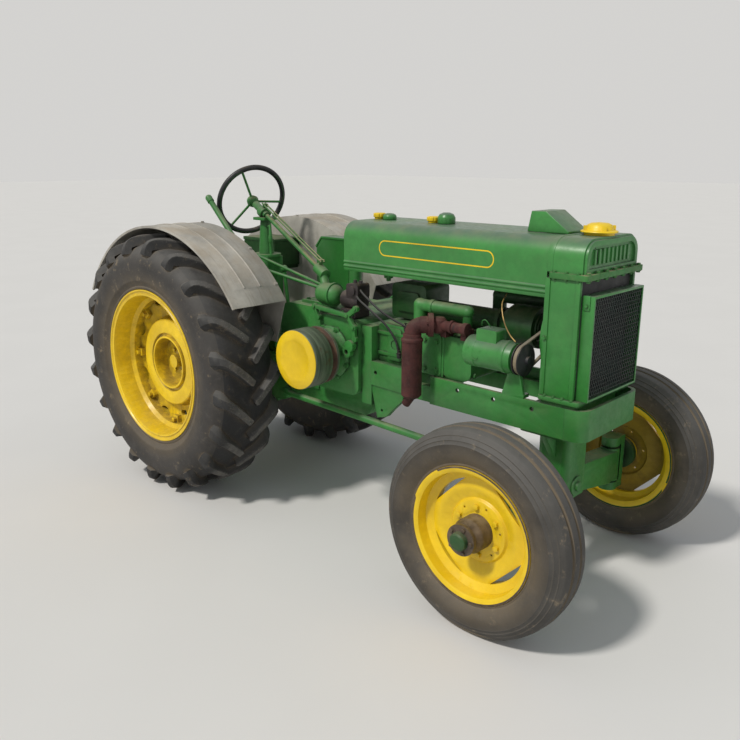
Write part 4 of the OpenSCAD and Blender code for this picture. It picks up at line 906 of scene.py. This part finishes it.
def make_rear_tyre(side):
    """A rear tyre: its body with a bead line, then lugs repeated round it."""
    sizes = bpy.context.scene.tractor_sizes
    node = of_side("rear_tyre", side)
    at = middle(node)
    w = REAR_W / 2
    base = REAR_R - sizes.lug_height
    half = [
        (0.311, 0.1265), (0.338, 0.1335), (0.341, 0.139), (0.347, 0.1395), (0.351, 0.136),
        (0.372, 0.146), (0.376, 0.1495), (0.381, 0.1488), (0.405, w - 0.0055),
        (0.436, w - 0.002), (0.462, w - 0.004), (0.482, w - 0.011), (0.500, w - 0.023),
        (0.514, w - 0.040), (0.524, w - 0.060), (base - 0.0015, 0.080), (base, 0.040),
    ]
    inner = [
        (0.311, -0.112), (0.436, -w + 0.018), (0.490, -w + 0.044),
        (0.490, w - 0.044), (0.436, w - 0.018), (0.311, 0.112),
    ]
    body = tyre_body("rear_tyre", side, half, inner, 50, "tyre_rubber")
    repaint(body, "dusty_wall", lambda c, n: abs(c.y - at.y) > 0.08 and off_axle(c, at) < 0.515)
    for half_side, label in ((1, "outer"), (-1, "inner")):
        name = node + "_lugs_" + label
        lug = linked(name, lug_mesh(name, side, half_side))
        phase = 0.0 if half_side > 0 else math.tau / sizes.lug_count / 2
        values = {"Count": sizes.lug_count, "Phase": phase, "Finish": finish("rear_lugs")}
        grown(lug, ring_tree(), values)
        lug.data.transform(Matrix.Translation(at))
        settle(lug.data, 26)
        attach(lug, BODY_OF[node])


def make_front_tyre(side):
    """A ribbed front tyre with rings on its walls."""
    at = middle(of_side("front_tyre", side))
    r, w = FRONT_R, FRONT_W / 2
    half = [
        (0.2043, 0.053), (0.221, 0.0575), (0.225, 0.0605), (0.230, 0.0595), (0.238, 0.066),
        (0.255, w - 0.0035), (0.276, w), (0.290, w - 0.0015), (0.2925, w - 0.0005),
        (0.296, w - 0.0035), (0.302, w - 0.006), (0.305, w - 0.0055), (0.308, w - 0.0095),
        (0.3155, w - 0.0155), (0.3185, w - 0.0158), (0.3215, w - 0.0205), (0.3295, 0.0555),
        (0.3322, 0.0515), (0.3335, 0.044), (r - 0.0022, 0.032), (r - 0.0022, 0.0265),
        (r - 0.0105, 0.0235), (r - 0.0105, 0.0165), (r - 0.0008, 0.0135), (r, 0.005),
    ]
    inner = [
        (0.2043, -0.042), (0.276, -w + 0.012), (0.313, -0.040),
        (0.313, 0.040), (0.276, w - 0.012), (0.2043, 0.042),
    ]
    body = tyre_body("front_tyre", side, half, inner, 32, "dusty_rubber")
    repaint(body, "front_wall", lambda c, n: off_axle(c, at) < 0.2925)


def make_hood():
    """The hood as folded sheet: crowned top, two pressed beads on each side, turned-in edges."""
    lo, hi = HOOD_LO, HOOD_HI
    half, corner, thick, bead = 0.1745, 0.062, 0.003, 0.0042
    top, bottom = hi.z - 0.0005, lo.z
    right = [(-half + 0.014, bottom + 0.0005), (-half + 0.002, bottom), (-half, bottom + 0.003)]
    for z in (bottom + 0.018, bottom + 0.034):
        for out, up in ((0, -0.006), (0.75, -0.0028), (1, 0), (0.75, 0.0028), (0, 0.006)):
            right.append((-half - bead * out, z + up))
    for i in range(15):
        a = math.pi / 2 * i / 14
        right.append((-half + corner - corner * math.cos(a), top - corner + corner * math.sin(a)))
    outline = right + [(-y, z) for y, z in reversed(right)]
    xs = [lo.x + d for d in (0, 0.002, 0.010, 0.2, 0.4)]
    xs += [hi.x - d for d in (0.3, 0.012, 0.0025, 0)]
    bm = bmesh.new()
    skin(bm, [[bm.verts.new((x, y, z)) for y, z in outline] for x in xs], loop=False)
    mesh = bpy.data.meshes.new("hood_sheet")
    bm.to_mesh(mesh)
    bm.free()
    helper = linked("hood_wall", mesh)
    wall = helper.modifiers.new("wall", "SOLIDIFY")
    wall.thickness = thick
    wall.offset = 1.0
    sheet = applied(helper).data
    bpy.data.objects.remove(helper)
    bm = bmesh.new()
    bm.from_mesh(sheet)
    bmesh.ops.recalc_face_normals(bm, faces=bm.faces)
    bm.to_mesh(sheet)
    bm.free()
    settle(sheet, 34)
    place_piece("hood_sheet", sheet, "chassis", "green_enamel", "hood")


def make_pinstripe():
    """A plain long yellow capsule on each side of the hood."""
    x0, x1, z0, z1, fat = 0.985, 1.50, 1.098, 1.156, 0.0042
    r, zc = (z1 - z0) / 2, (z0 + z1) / 2
    bm = bmesh.new()
    for side in SIDES:
        y = side * 0.1747 + side * 0.0004
        rings = []
        for radius in (r, r - fat):
            ring = []
            for part, cx in ((0, x1 - r), (1, x0 + r)):
                for i in range(17):
                    a = -math.pi / 2 + math.pi * i / 16 + part * math.pi
                    x, z = cx + radius * math.cos(a), zc + radius * math.sin(a)
                    ring.append(bm.verts.new((x - SHIFT, y, z)))
            rings.append(ring)
        skin(bm, rings)
    geom = bmesh.ops.extrude_face_region(bm, geom=list(bm.faces))
    for v in [g for g in geom["geom"] if isinstance(g, bmesh.types.BMVert)]:
        v.co.y -= 0.0006 if v.co.y > 0 else -0.0006
    mesh = bm_mesh(bm, "hood_stripe")
    place_piece("hood_stripe", mesh, "chassis", "yellow_enamel")


def guard_cell(wide, high):
    """One mesh of the guard: two uprights and the four slanting strands between them."""
    deep, bond = 0.0024, 0.17 * high
    upright, slanting = 0.0028, 0.0019
    strands = [
        ((0.0, -bond), (0.0, bond), upright),
        ((wide / 2, high / 2 - bond), (wide / 2, high / 2 + bond), upright),
    ]
    for j in SIDES:
        for k in (-1, 1):
            ends = (0.0, k * bond * 0.9), (j * wide / 2, k * (high / 2 - bond * 0.9))
            strands.append((*ends, slanting))
    bm = bmesh.new()
    for (ya, za), (yb, zb), strand in strands:
        long = math.hypot(yb - ya, zb - za)
        ny, nz = -(zb - za) / long * strand / 2, (yb - ya) / long * strand / 2
        corners = (ya - ny, za - nz), (ya + ny, za + nz), (yb + ny, zb + nz), (yb - ny, zb - nz)
        back = [bm.verts.new((0.0, y, z)) for y, z in corners]
        front = [bm.verts.new((deep, v.co.y, v.co.z)) for v in back]
        bm.faces.new(front)
        bm.faces.new(list(reversed(back)))
        skin(bm, [back, front])
    return bm_mesh(bm, "guard_mesh", 30)


def frame_bars(half, foot, top, wide):
    """The four bars of an upright frame, as (y0, y1, z0, z1)."""
    return (
        (-half, wide - half, foot, top),
        (half - wide, half, foot, top),
        (wide - half, half - wide, foot, foot + wide),
        (wide - half, half - wide, top - wide, top),
    )


def make_guard():
    """The radiator's guard: its frame carried over, its bars changed for stretched mesh."""
    sizes = bpy.context.scene.tractor_sizes
    half, top = GUARD_HI.y, GUARD_HI.z - 0.003
    foot, x0, x1 = GUARD_LO.z, GUARD_LO.x, GUARD_HI.x
    wall, rim = 0.0055, 0.0075
    bm = bmesh.new()
    for y0, y1, z0, z1 in frame_bars(half, foot, top, wall):
        slab(bm, (x0, y0, z0), (x1 - 0.002, y1, z1))
    for y0, y1, z0, z1 in frame_bars(half, foot, top, rim):
        slab(bm, (x1 - 0.004, y0, z0), (x1, y1, z1))
    latch = (x0 + 0.006, -half - 0.0035, top - 0.044), (x0 + 0.028, -half - 0.0005, top + 0.002)
    slab(bm, *latch)
    mesh = rounded(bm_mesh(bm, "guard_frame"), 0.001, 2)
    place_piece("guard_frame", mesh, "chassis", "green_enamel", "radiator_guard")
    screw = (Vector((x0 + 0.017, -half - 0.0035, top - 0.030)), (0, -1, 0), 1.0)
    bolts("guard_latch_screw", "chassis", [screw], "green_casting", 0.0055)

    w, h = sizes.mesh_wide, sizes.mesh_high
    piece = linked("guard_mesh", guard_cell(w, h))
    across = int((2 * half - 2 * rim + 0.004) / w)
    up = int((top - foot - 2 * rim + 0.010) / h)
    left_y = -(across - 1) * w / 2
    low_z = (foot + top) / 2 - (up - 1) * h / 2
    grown(piece, mesh_tree(), {
        "Across": across,
        "Up": up,
        "Width": w,
        "Height": h,
        "Corner": (x1 - 0.0052, left_y, low_z),
        "Finish": finish("dark_mesh"),
    })
    settle(piece.data, 30)
    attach(piece, "chassis")


# routes in millimetres from the rear axle line
LEADS = (
    (
        (898, -205, 940), (930, -222, 928), (1000, -214, 884),
        (1046, -200, 845), (1080, -184, 790), (1092, -180, 742),
    ),
    (
        (898, -190, 965), (940, -208, 948), (1010, -200, 900),
        (1060, -180, 868), (1112, -165, 846),
    ),
)
THIN_WIRE = (
    (1520, -120, 1012), (1535, -168, 985), (1562, -196, 940), (1592, -206, 900), (1624, -214, 878),
)
UPPER_LOOP = ((1478, -196, 908), (1486, -206, 926), (1500, -206, 930), (1512, -196, 908))
LOWER_LOOP = ((1462, -250, 842), (1474, -252, 812), (1500, -252, 806), (1512, -250, 836))


def wire(bm, route, radius, each=8, sides=8):
    tube(bm, curve_points([spot(*at) for at in route], each), radius, sides)


def make_hoses():
    """The ignition leads, a thin wire and two wire loops at the engine's right side."""
    bm = bmesh.new()
    for route in LEADS:
        wire(bm, route, 0.0042, sides=10)
    for at in [spot(*route[-1]) for route in LEADS]:
        tube(bm, [at + Vector((0, 0.002, 0.012)), at, at + Vector((0, 0.004, -0.018))], 0.0085, 12)
    mesh = bm_mesh(bm, "ignition_leads")
    place_piece("ignition_leads", mesh, "chassis", "hose_rubber")
    bm = bmesh.new()
    wire(bm, THIN_WIRE, 0.0021)
    place_piece("thin_wire", bm_mesh(bm, "thin_wire"), "chassis", "brass")
    bm = bmesh.new()
    wire(bm, UPPER_LOOP, 0.0018, each=6)
    wire(bm, LOWER_LOOP, 0.0016, each=6)
    place_piece("wire_loops", bm_mesh(bm, "wire_loops"), "chassis", "green_casting")


def make_lever_rods():
    """Two thin rods beside the steering shaft, from the post's head to the steering gear."""
    down = -HELM_AXIS if HELM_AXIS.z > 0 else HELM_AXIS
    over = (Vector((0, 0, 1)) - down * down.z).normalized()
    across = down.cross(over)
    rise, apart = 0.039, 0.0075
    bm = bmesh.new()
    for side in SIDES:
        line = [
            HELM_HUB + down * t + over * rise + across * side * apart
            for t in (0.125, 0.13, 0.30, 0.50, 0.69, 0.695)
        ]
        tube(bm, line, 0.0038, 10)
    for t, foot in ((0.142, 0.025), (0.682, 0.021)):
        seat = HELM_HUB + down * t
        for side in SIDES:
            stay = [
                seat + over * foot,
                seat + over * 0.034 + across * side * 0.006,
                seat + over * 0.044 + across * side * apart,
            ]
            tube(bm, stay, 0.0062, 10)
    place_piece("lever_rods", bm_mesh(bm, "lever_rods"), "chassis", "dusty_green")


def tank_bolt_places(up, down):
    """Bolts with their nuts round the top tank's flange."""
    flange_top, flange_low = 1110.0, 1092.0
    front = (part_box("top_tank")[1].x + SHIFT) * 1000 - 8
    over = row(spot(front, -166, flange_top), spot(front, 166, flange_top), 7, up, 0.8)
    for y in (-181.5, 181.5):
        over += row(spot(1730, y, flange_top), spot(1812, y, flange_top), 3, up, 0.58)
    drop = Vector((0, 0, (flange_top - flange_low) / 1000))
    return over + [(p - drop, down, k) for p, _, k in over]


def fender_bolt_places():
    """Bolts over each fender's arch, at angles from level ahead."""
    places = []
    for side in SIDES:
        for degrees in (42, 60, 90, 120, 145):
            c, s = math.cos(math.radians(degrees)), math.sin(math.radians(degrees))
            places.append((spot(12 + 664 * c, side * 278, 506 + 664 * s), (c, 0, s), 0.75))
    return places


def make_bolts():
    """Bolt heads on flanges, covers and rails."""
    out_right, ahead, up, down = (0, -1, 0), (1, 0, 0), (0, 0, 1), (0, 0, -1)
    bolts("tank_bolts", "chassis", tank_bolt_places(up, down), "dusty_green")
    places = []
    for side in SIDES:
        outward = (0, side, 0)
        places += row(spot(1722, side * 183, 712), spot(1818, side * 183, 712), 4, up, 0.58)
        places.append((spot(1708, side * 182.2, 900), outward, 0.75))
        places += circle(spot(0, side * 172, 567), 0.107, 8, outward, 0.2, 1.1)
    # lobes of the pulley's bearing housing
    places += circle(spot(775, -235, 703), 0.096, 8, out_right, math.radians(22.5), 0.9)
    # head and valve cover
    for y in (-150, 150):
        places += row(spot(1420, y, 712), spot(1420, y, 816), 3, ahead, 0.9)
    for x in (1160, 1215, 1270):
        for side in SIDES:
            places += [(spot(x, side * 175, z), (0, side, 0), 0.9) for z in (708, 815)]
    # magneto's foot, then the exhaust's and the intake's flanges
    places += [(spot(x, -214, 866), out_right, 0.7) for x in (830, 886)]
    places += [(spot(x, -134 + s * 25, 852), up, 0.6) for x in (1156, 1372) for s in (-1, 1)]
    # the case's top cover
    places += [(spot(x, y, 862), up, 0.9) for x in (490, 590) for y in (-85, 85)]
    bolts("chassis_bolts", "chassis", places, "green_casting")
    # the exhaust's flange, turned to the left of straight ahead
    skew = math.radians(43)
    turned = Vector((math.cos(skew), math.sin(skew), 0))
    across = Vector((-turned.y, turned.x, 0))
    at = spot(1228, -262, 884) + turned * 0.055
    flange = [
        (at + across * 0.031 * c + Vector((0, 0, 0.031 * k)), tuple(-turned), 0.75)
        for c, k in ((1, 0.4), (-1, 0.4), (0.1, -1))
    ]
    bolts("exhaust_bolts", "chassis", flange, "rusty_iron")
    bolts("fender_bolts", "chassis", fender_bolt_places(), "bare_sheet")


CAST_NODES = (
    "main_case", "axle_housings", "cylinder_block", "valve_cover", "pulley_housing",
    "frame_rails", "rail_brackets", "front_bolster", "front_axle", "bottom_tank",
    "fan_housing", "magneto", "breather", "water_pipes", "intake_pipe", "exhaust_manifold",
    "muffler", "steering_post", "steering_gear", "clutch_linkage", "drawbar", "pitman_arm",
    "drag_link", "tie_rod", "knuckle_left", "knuckle_right", "control_levers",
    "radiator_core", "fuel_tank",
)
# The water pipes and the fan housing take the darkened green, which paints their shade.
OWN_FINISH = {"magneto": "magneto_iron", "water_pipes": "dark_green", "fan_housing": "dark_green"}
TANK_FLANGE = 0.020  # thickness at the top tank's foot


def make_castings():
    """What has its right shape in the frame, with its edges rounded and in its own finish."""
    for node in CAST_NODES:
        if node == "valve_cover":
            carried(node, None, 0.012, 4)
        else:
            carried(node, OWN_FINISH.get(node))
    tank = carried("top_tank", "green_enamel", 0.005, 3)
    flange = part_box("top_tank")[0].z + TANK_FLANGE
    repaint(tank, "dusty_green", lambda c, n: c.z < flange)
    charger = carried("generator", "green_enamel")
    front_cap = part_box("generator")[1].x - 0.040
    repaint(charger, "dark_iron", lambda c, n: c.x > front_cap and c.z > 0.75)


def make_sheets():
    """Thin sheet pieces of the frame."""
    sheet_round = bpy.context.scene.tractor_sizes.sheet_round
    for node in ("radiator_sides", "fan_shroud", "platform", "tool_box", "seat"):
        carried(node, "green_enamel" if SLOT_OF[node] == "green_paint" else None, sheet_round)
    # The battery box takes the darkened green, which paints its shade.
    carried("battery_box", "dark_green", 0.004, 3)
    carried("limb_shields", "green_enamel", 0.005, 3)
    for node in ("fender_left", "fender_right"):
        carried(node, "bare_sheet", 0.0008)
    carried("filler_caps", "yellow_enamel", 0.0012)
    lo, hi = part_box("radiator_sides")
    bm = bmesh.new()
    for side in SIDES:
        wall = side * hi.y
        y0, y1 = sorted((wall, wall + side * 0.003))
        for x0, x1 in ((lo.x, lo.x + 0.017), (hi.x - 0.015, hi.x)):
            slab(bm, (x0, y0, lo.z + 0.001), (x1, y1, hi.z - 0.001))
    mesh = rounded(bm_mesh(bm, "radiator_side_edges"), 0.001, 2)
    place_piece("radiator_side_edges", mesh, "chassis", "green_enamel")


def make_rear_wheel(side):
    """A rear wheel, worn and darkened by broad painted shade inside, and bright on its outer
    flange.
    """
    node = of_side("rear_wheel", side)
    at = middle(node)
    wheel = carried(node, "worn_yellow", 0.0016, 2, 24, 32)
    repaint(
        wheel,
        "yellow_enamel",
        lambda c, n: off_axle(c, at) > 0.325 and (c.y - at.y) * side > 0.05,
    )


def make_front_wheel(side):
    """A front wheel, with a greasy hub, a cap in the darkened green of painted shade, and an inner
    side darkened by painted shade and grime.
    """
    node = of_side("front_wheel", side)
    at, track = middle(node), abs(FRONT_AT.y)
    wheel = carried(node, "yellow_enamel", 0.0016, 2, 24, 32)
    # Inward faces get painted shade and grime; the cap and the inner hub take the darkened green, a
    # painted shade.
    for look, radius, test in (
        ("grimy_yellow", 0.165, lambda c, n: n.y * side < -0.25),
        ("greasy_iron", 0.0635, lambda c, n: abs(c.y) > track + 0.012),
        ("dark_green", 0.0325, lambda c, n: abs(c.y) > track + 0.099),
        ("dark_green", 0.066, lambda c, n: abs(c.y) < track - 0.008),
    ):
        repaint(wheel, look, lambda c, n: off_axle(c, at) < radius and test(c, n))


def make_wheels():
    """The four wheels, the pulley with its cover, the flywheel, the fan and the belt."""
    for side in (LEFT, RIGHT):
        make_rear_wheel(side)
    for side in (LEFT, RIGHT):
        make_front_wheel(side)
    drum = carried("belt_pulley", "drum_iron", 0.0015)
    hub, face_y = middle("pulley_cover"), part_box("pulley_cover")[1].y
    repaint(
        drum,
        "drum_rust",
        lambda c, n: face_y + 0.088 < c.y < face_y + 0.113 and off_axle(c, hub) > 0.08,
    )
    carried("pulley_cover", "yellow_enamel", 0.0008)
    carried("flywheel", "green_casting", 0.002)
    carried("fan", "dark_iron", 0.0006)
    carried("fan_belt", "belt_cloth", 0.0008)
    helm = carried("steering_wheel", "dark_iron", 0.001)
    rim = span("steering_wheel").y / 2 - 0.03

    def off_shaft(point):
        arm = point - HELM_HUB
        return (arm - HELM_AXIS * arm.dot(HELM_AXIS)).length

    repaint(helm, "dusty_green", lambda c, n: off_shaft(c) < rim)


# Stage

SKY_LIGHT, SKY_STRENGTH = (0.90, 0.95, 1.0), 0.40
BACKDROP, BACKDROP_STRENGTH = (0.84, 0.83, 0.81), 0.78
FLOOR_REACH, FLOOR_CELLS = 45.0, 8
CAMERA_AT = (2.979 - SHIFT, -2.32, 1.454)
CAMERA_YAW, CAMERA_PITCH, CAMERA_ROLL = (math.radians(a) for a in (133.546, -15.241, 0.084))
CAMERA_LENS, CAMERA_SENSOR = 38.147, 36.0


def make_floor(colour):
    bm = bmesh.new()
    n, reach = FLOOR_CELLS, FLOOR_REACH
    ticks = [-reach + 2 * reach * i / n for i in range(n + 1)]
    grid = [[bm.verts.new((x, y, 0.0)) for y in ticks] for x in ticks]
    for a, b in zip(grid, grid[1:]):
        for k in range(n):
            bm.faces.new((a[k], b[k], b[k + 1], a[k + 1]))
    mesh = bpy.data.meshes.new("floor")
    bm.to_mesh(mesh)
    bm.free()
    floor = linked("floor", mesh)
    mesh.materials.append(floor_finish("pale_floor", colour))


def make_world():
    """A soft sky for light, and the pale background for what the camera and mirrors see."""
    world = bpy.data.worlds.new("studio")
    bpy.context.scene.world = world
    world.use_nodes = True
    world.node_tree.nodes.clear()
    graph = Graph(world.node_tree)
    background = "ShaderNodeBackground"
    soft = graph.add(background, {"Color": SKY_LIGHT, "Strength": SKY_STRENGTH})
    seen = graph.add(background, {"Color": BACKDROP, "Strength": BACKDROP_STRENGTH})
    rays = graph.add("ShaderNodeLightPath").outputs
    shown = rays["Is Camera Ray"]
    for ray in ("Is Glossy Ray", "Is Transmission Ray"):
        shown = graph.calc("MAXIMUM", shown, rays[ray])
    choice = {0: shown, 1: soft.outputs[0], 2: seen.outputs[0]}
    chosen = graph.add("ShaderNodeMixShader", choice)
    graph.add("ShaderNodeOutputWorld", {"Surface": chosen.outputs[0]})


def aimed_light(name, kind, place, target):
    data = bpy.data.lights.new(name, kind)
    lamp = linked(name, data)
    lamp.location = place
    lamp.rotation_mode = "QUATERNION"
    lamp.rotation_quaternion = (Vector(target) - Vector(place)).to_track_quat("-Z", "Y")
    return data


def make_camera():
    """The camera that was fitted to the photograph."""
    data = bpy.data.cameras.new("camera")
    data.sensor_width = CAMERA_SENSOR
    data.lens = CAMERA_LENS
    data.clip_start, data.clip_end = 0.05, 90.0
    camera = linked("camera", data)
    camera.location = CAMERA_AT
    level = math.cos(CAMERA_PITCH)
    ahead = Vector((
        math.cos(CAMERA_YAW) * level,
        math.sin(CAMERA_YAW) * level,
        math.sin(CAMERA_PITCH),
    ))
    roll = Matrix.Rotation(CAMERA_ROLL, 3, "Z").to_quaternion()
    camera.rotation_mode = "QUATERNION"
    camera.rotation_quaternion = ahead.to_track_quat("-Z", "Y") @ roll
    bpy.context.scene.camera = camera


def make_stage():
    """A plain pale floor, soft studio light and the camera at the photograph's angle."""
    scene = bpy.context.scene
    make_floor(tuple(scene.tractor_colours.floor))
    make_world()
    key = aimed_light("key", "SUN", (-0.75, -4.15, 5.0), (0, 0, 0))
    key.energy, key.angle, key.color = 2.25, math.radians(7), (1.0, 0.965, 0.91)
    fill = aimed_light("fill", "AREA", (5.0, -2.6, 2.6), (0.2, 0, 0.5))
    fill.shape, fill.size, fill.energy, fill.color = "DISK", 3.0, 7, (0.93, 0.96, 1.0)
    make_camera()
    scene.view_settings.view_transform = "Standard"


# Add-on


class Maker:
    """What all the operators share."""

    bl_options = {"REGISTER", "UNDO"}


class TRACTOR_OT_stage(Maker, bpy.types.Operator):
    """Make the floor, the lights and the camera"""

    bl_idname = "tractor.stage"
    bl_label = "Stage"

    def execute(self, context):
        make_stage()
        return {"FINISHED"}


class TRACTOR_OT_castings(Maker, bpy.types.Operator):
    """Round and finish the castings, rods and pipes"""

    bl_idname = "tractor.castings"
    bl_label = "Castings"

    def execute(self, context):
        make_castings()
        return {"FINISHED"}


class TRACTOR_OT_sheets(Maker, bpy.types.Operator):
    """Round and finish the thin sheet pieces"""

    bl_idname = "tractor.sheets"
    bl_label = "Sheet metal"

    def execute(self, context):
        make_sheets()
        return {"FINISHED"}


class TRACTOR_OT_hood(Maker, bpy.types.Operator):
    """Make the folded hood"""

    bl_idname = "tractor.hood"
    bl_label = "Hood"

    def execute(self, context):
        make_hood()
        return {"FINISHED"}


class TRACTOR_OT_pinstripe(Maker, bpy.types.Operator):
    """Make the plain stripe on the hood"""

    bl_idname = "tractor.pinstripe"
    bl_label = "Hood stripe"

    def execute(self, context):
        make_pinstripe()
        return {"FINISHED"}


class TRACTOR_OT_guard(Maker, bpy.types.Operator):
    """Make the guard's frame and stretched mesh"""

    bl_idname = "tractor.guard"
    bl_label = "Radiator guard"

    def execute(self, context):
        make_guard()
        return {"FINISHED"}


class TRACTOR_OT_wheels(Maker, bpy.types.Operator):
    """Round and finish the wheels, pulley and flywheel"""

    bl_idname = "tractor.wheels"
    bl_label = "Wheels"

    def execute(self, context):
        make_wheels()
        return {"FINISHED"}


class TRACTOR_OT_rear_tyres(Maker, bpy.types.Operator):
    """Make the rear tyres with their lugs"""

    bl_idname = "tractor.rear_tyres"
    bl_label = "Rear tyres"

    def execute(self, context):
        for side in SIDES:
            make_rear_tyre(side)
        return {"FINISHED"}


class TRACTOR_OT_front_tyres(Maker, bpy.types.Operator):
    """Make the ribbed front tyres"""

    bl_idname = "tractor.front_tyres"
    bl_label = "Front tyres"

    def execute(self, context):
        for side in SIDES:
            make_front_tyre(side)
        return {"FINISHED"}


class TRACTOR_OT_hoses(Maker, bpy.types.Operator):
    """Make the ignition leads, the thin wire and the wire loops"""

    bl_idname = "tractor.hoses"
    bl_label = "Leads and wires"

    def execute(self, context):
        make_hoses()
        return {"FINISHED"}


class TRACTOR_OT_lever_rods(Maker, bpy.types.Operator):
    """Make the two rods beside the steering shaft"""

    bl_idname = "tractor.lever_rods"
    bl_label = "Lever rods"

    def execute(self, context):
        make_lever_rods()
        return {"FINISHED"}


class TRACTOR_OT_bolts(Maker, bpy.types.Operator):
    """Put the bolt heads on"""

    bl_idname = "tractor.bolts"
    bl_label = "Bolts"

    def execute(self, context):
        make_bolts()
        return {"FINISHED"}


OPERATORS = (
    TRACTOR_OT_stage,
    TRACTOR_OT_castings,
    TRACTOR_OT_sheets,
    TRACTOR_OT_hood,
    TRACTOR_OT_pinstripe,
    TRACTOR_OT_guard,
    TRACTOR_OT_wheels,
    TRACTOR_OT_rear_tyres,
    TRACTOR_OT_front_tyres,
    TRACTOR_OT_hoses,
    TRACTOR_OT_lever_rods,
    TRACTOR_OT_bolts,
)


class TRACTOR_PT_pieces(bpy.types.Panel):
    """Lists the tractor's pieces and their sizes and colours"""

    bl_idname = "TRACTOR_PT_pieces"
    bl_label = "Tractor"
    bl_space_type = "VIEW_3D"
    bl_region_type = "UI"
    bl_category = "Tractor"

    def draw(self, context):
        column = self.layout.column()
        for group in (context.scene.tractor_sizes, context.scene.tractor_colours):
            for name in group.__annotations__:
                column.prop(group, name)
        for item in OPERATORS:
            column.operator(item.bl_idname)


CLASSES = (TractorSizes, TractorColours, *OPERATORS, TRACTOR_PT_pieces)


def register():
    for item in CLASSES:
        bpy.utils.register_class(item)
    bpy.types.Scene.tractor_sizes = bpy.props.PointerProperty(type=TractorSizes)
    bpy.types.Scene.tractor_colours = bpy.props.PointerProperty(type=TractorColours)


def unregister():
    del bpy.types.Scene.tractor_colours
    del bpy.types.Scene.tractor_sizes
    for item in reversed(CLASSES):
        bpy.utils.unregister_class(item)


def main():
    register()
    for item in OPERATORS:
        getattr(bpy.ops.tractor, item.bl_idname.split(".")[1])()


if __name__ == "__main__":
    main()
